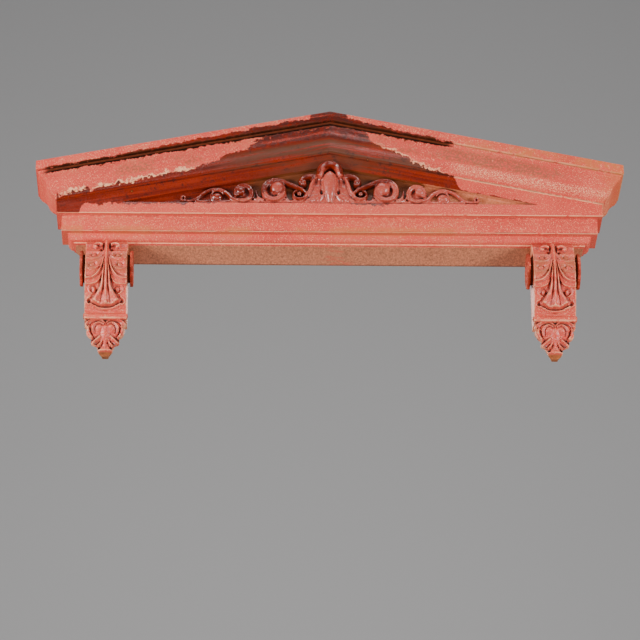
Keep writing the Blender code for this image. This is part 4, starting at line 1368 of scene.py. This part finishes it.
def make_console(paint, bare):
    body = new_piece("painted_console_right", loft(list(reversed(console_rows()))), 60.0)
    body.data.materials.append(paint)
    for side in (-1, 1):
        disc = new_piece("disc", ear(side))
        disc.data.materials.append(paint)
        combine(body, disc, "UNION")
    cut(body, console_room(), bare)
    for vertex in body.data.vertices:
        place = vertex.co
        if place.y < -0.012:
            wave = noise.noise(place * 90) + 0.5 * noise.noise(place * 260)
            vertex.co = place - vertex.normal * 0.0004 * (wave + 1)
    shade(body.data, 60.0)
    store_cavity(body, 22, 0.0022)
    body.data.transform(Matrix.Translation((CONSOLE_CENTRE, 0.0, LOWER_EDGE)))
    return body


def mirror_console(right):
    """The left console is a second casting from the same pattern."""
    left = right.copy()
    left.name = "painted_console_left"
    left.data = right.data.copy()
    left.data.transform(Matrix.Translation((-2 * CONSOLE_CENTRE, 0.0, 0.0)))
    bpy.context.scene.collection.objects.link(left)
    return left


# Room, lights and camera

def plain(name, colour, roughness):
    paint = bpy.data.materials.new(name)
    paint.use_nodes = True
    shader = paint.node_tree.nodes["Principled BSDF"]
    shader.inputs["Base Color"].default_value = colour
    shader.inputs["Roughness"].default_value = roughness
    return paint


def panel(name, corners, paint):
    mesh = bpy.data.meshes.new(name)
    mesh.from_pydata(corners, [], [(0, 1, 2, 3)])
    mesh.materials.append(paint)
    piece = bpy.data.objects.new(name, mesh)
    bpy.context.scene.collection.objects.link(piece)
    return piece


def make_room():
    pale = plain("pale_studio", srgb(214, 214, 216), 0.9)
    grey = plain("grey_backdrop", srgb(205, 203, 202), 0.95)
    floor = -5.0
    panel("floor", [(-16, -16, floor), (16, -16, floor), (16, 13, floor), (-16, 13, floor)], pale)
    panel("backdrop", [(-18, 12, -6), (18, 12, -6), (18, 12, 16), (-18, 12, 16)], grey)


def softbox(name, place, size, power, target):
    light = bpy.data.lights.new(name, "AREA")
    light.shape = "RECTANGLE"
    light.size, light.size_y = size
    light.energy = power
    lamp = bpy.data.objects.new(name, light)
    bpy.context.scene.collection.objects.link(lamp)
    lamp.location = place
    lamp.visible_camera = False
    aim = Vector(target) - Vector(place)
    lamp.rotation_mode = "QUATERNION"
    lamp.rotation_quaternion = aim.to_track_quat("-Z", "Y")


# Softboxes: place, size, power and aim
OBJECT_MIDDLE = (0.0, 0.0, 0.05)
SOFTBOXES = {"left_softbox": ((-3.0, -1.7, -0.5), (0.9, 1.2), 176, OBJECT_MIDDLE),
             "right_softbox": ((3.0, -1.9, -0.7), (0.9, 1.2), 140, OBJECT_MIDDLE),
             "lower_softbox": ((-0.5, -2.8, -2.6), (1.6, 0.5), 40, OBJECT_MIDDLE),
             "upper_softbox": ((0.0, -1.8, 2.8), (2.6, 1.2), 54, OBJECT_MIDDLE),
             "back_softbox": ((0.0, 3.4, 2.2), (3.0, 2.0), 60, OBJECT_MIDDLE),
             "backdrop_softbox": ((0.0, 4.0, 3.0), (6.0, 3.0), 250, (0.0, 12.0, 4.0))}


def make_lights():
    for name, (place, size, power, target) in SOFTBOXES.items():
        softbox(name, place, size, power, target)
    world = bpy.data.worlds.new("studio")
    world.use_nodes = True
    background = world.node_tree.nodes["Background"]
    background.inputs["Color"].default_value = (0.95, 0.97, 1.0, 1.0)
    background.inputs["Strength"].default_value = 0.16
    bpy.context.scene.world = world


CAMERA_ACROSS = -0.2385
CAMERA_DISTANCE = 8.5
CAMERA_BELOW = math.radians(28.15)
CAMERA_PITCH = math.radians(27.10)
CAMERA_YAW = math.radians(1.63)
CAMERA_ROLL = math.radians(-0.38)
FOCAL_PIXELS = 3317
IMAGE_PIXELS = 640


def make_camera():
    """The photograph's view: a long lens from well below the wall's normal."""
    data = bpy.data.cameras.new("camera")
    data.sensor_fit = "HORIZONTAL"
    data.sensor_width = 36.0
    data.lens = FOCAL_PIXELS / IMAGE_PIXELS * data.sensor_width
    camera = bpy.data.objects.new("camera", data)
    bpy.context.scene.collection.objects.link(camera)
    place = Vector((CAMERA_ACROSS, -CAMERA_DISTANCE * math.cos(CAMERA_BELOW),
                    -CAMERA_DISTANCE * math.sin(CAMERA_BELOW)))
    ahead = Vector((math.sin(CAMERA_YAW) * math.cos(CAMERA_PITCH),
                    math.cos(CAMERA_YAW) * math.cos(CAMERA_PITCH), math.sin(CAMERA_PITCH)))
    right = ahead.cross(Vector((0, 0, 1))).normalized()
    above = right.cross(ahead)
    right_rolled = right * math.cos(CAMERA_ROLL) + above * math.sin(CAMERA_ROLL)
    above_rolled = above * math.cos(CAMERA_ROLL) - right * math.sin(CAMERA_ROLL)
    turned = Matrix((right_rolled, above_rolled, -ahead)).transposed().to_4x4()
    camera.matrix_world = Matrix.Translation(place) @ turned
    bpy.context.scene.camera = camera


def main():
    make_camera()
    make_room()
    make_lights()
    bare = bare_iron()
    hood = make_hood(hood_paint(), bare)
    weather(hood, 0.0005)
    shade(hood.data, 35.0)
    scrollwork = make_scrollwork(scroll_paint())
    console_right = make_console(console_paint(), bare)
    console_left = mirror_console(console_right)
    for piece, node, slot in [(hood, "pediment_hood", "hood_paint"),
                              (scrollwork, "tympanum_ornament", "scroll_paint"),
                              (console_left, "console_left", "console_paint"),
                              (console_right, "console_right", "console_paint")]:
        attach(piece, "root")
        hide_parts(node)


main()
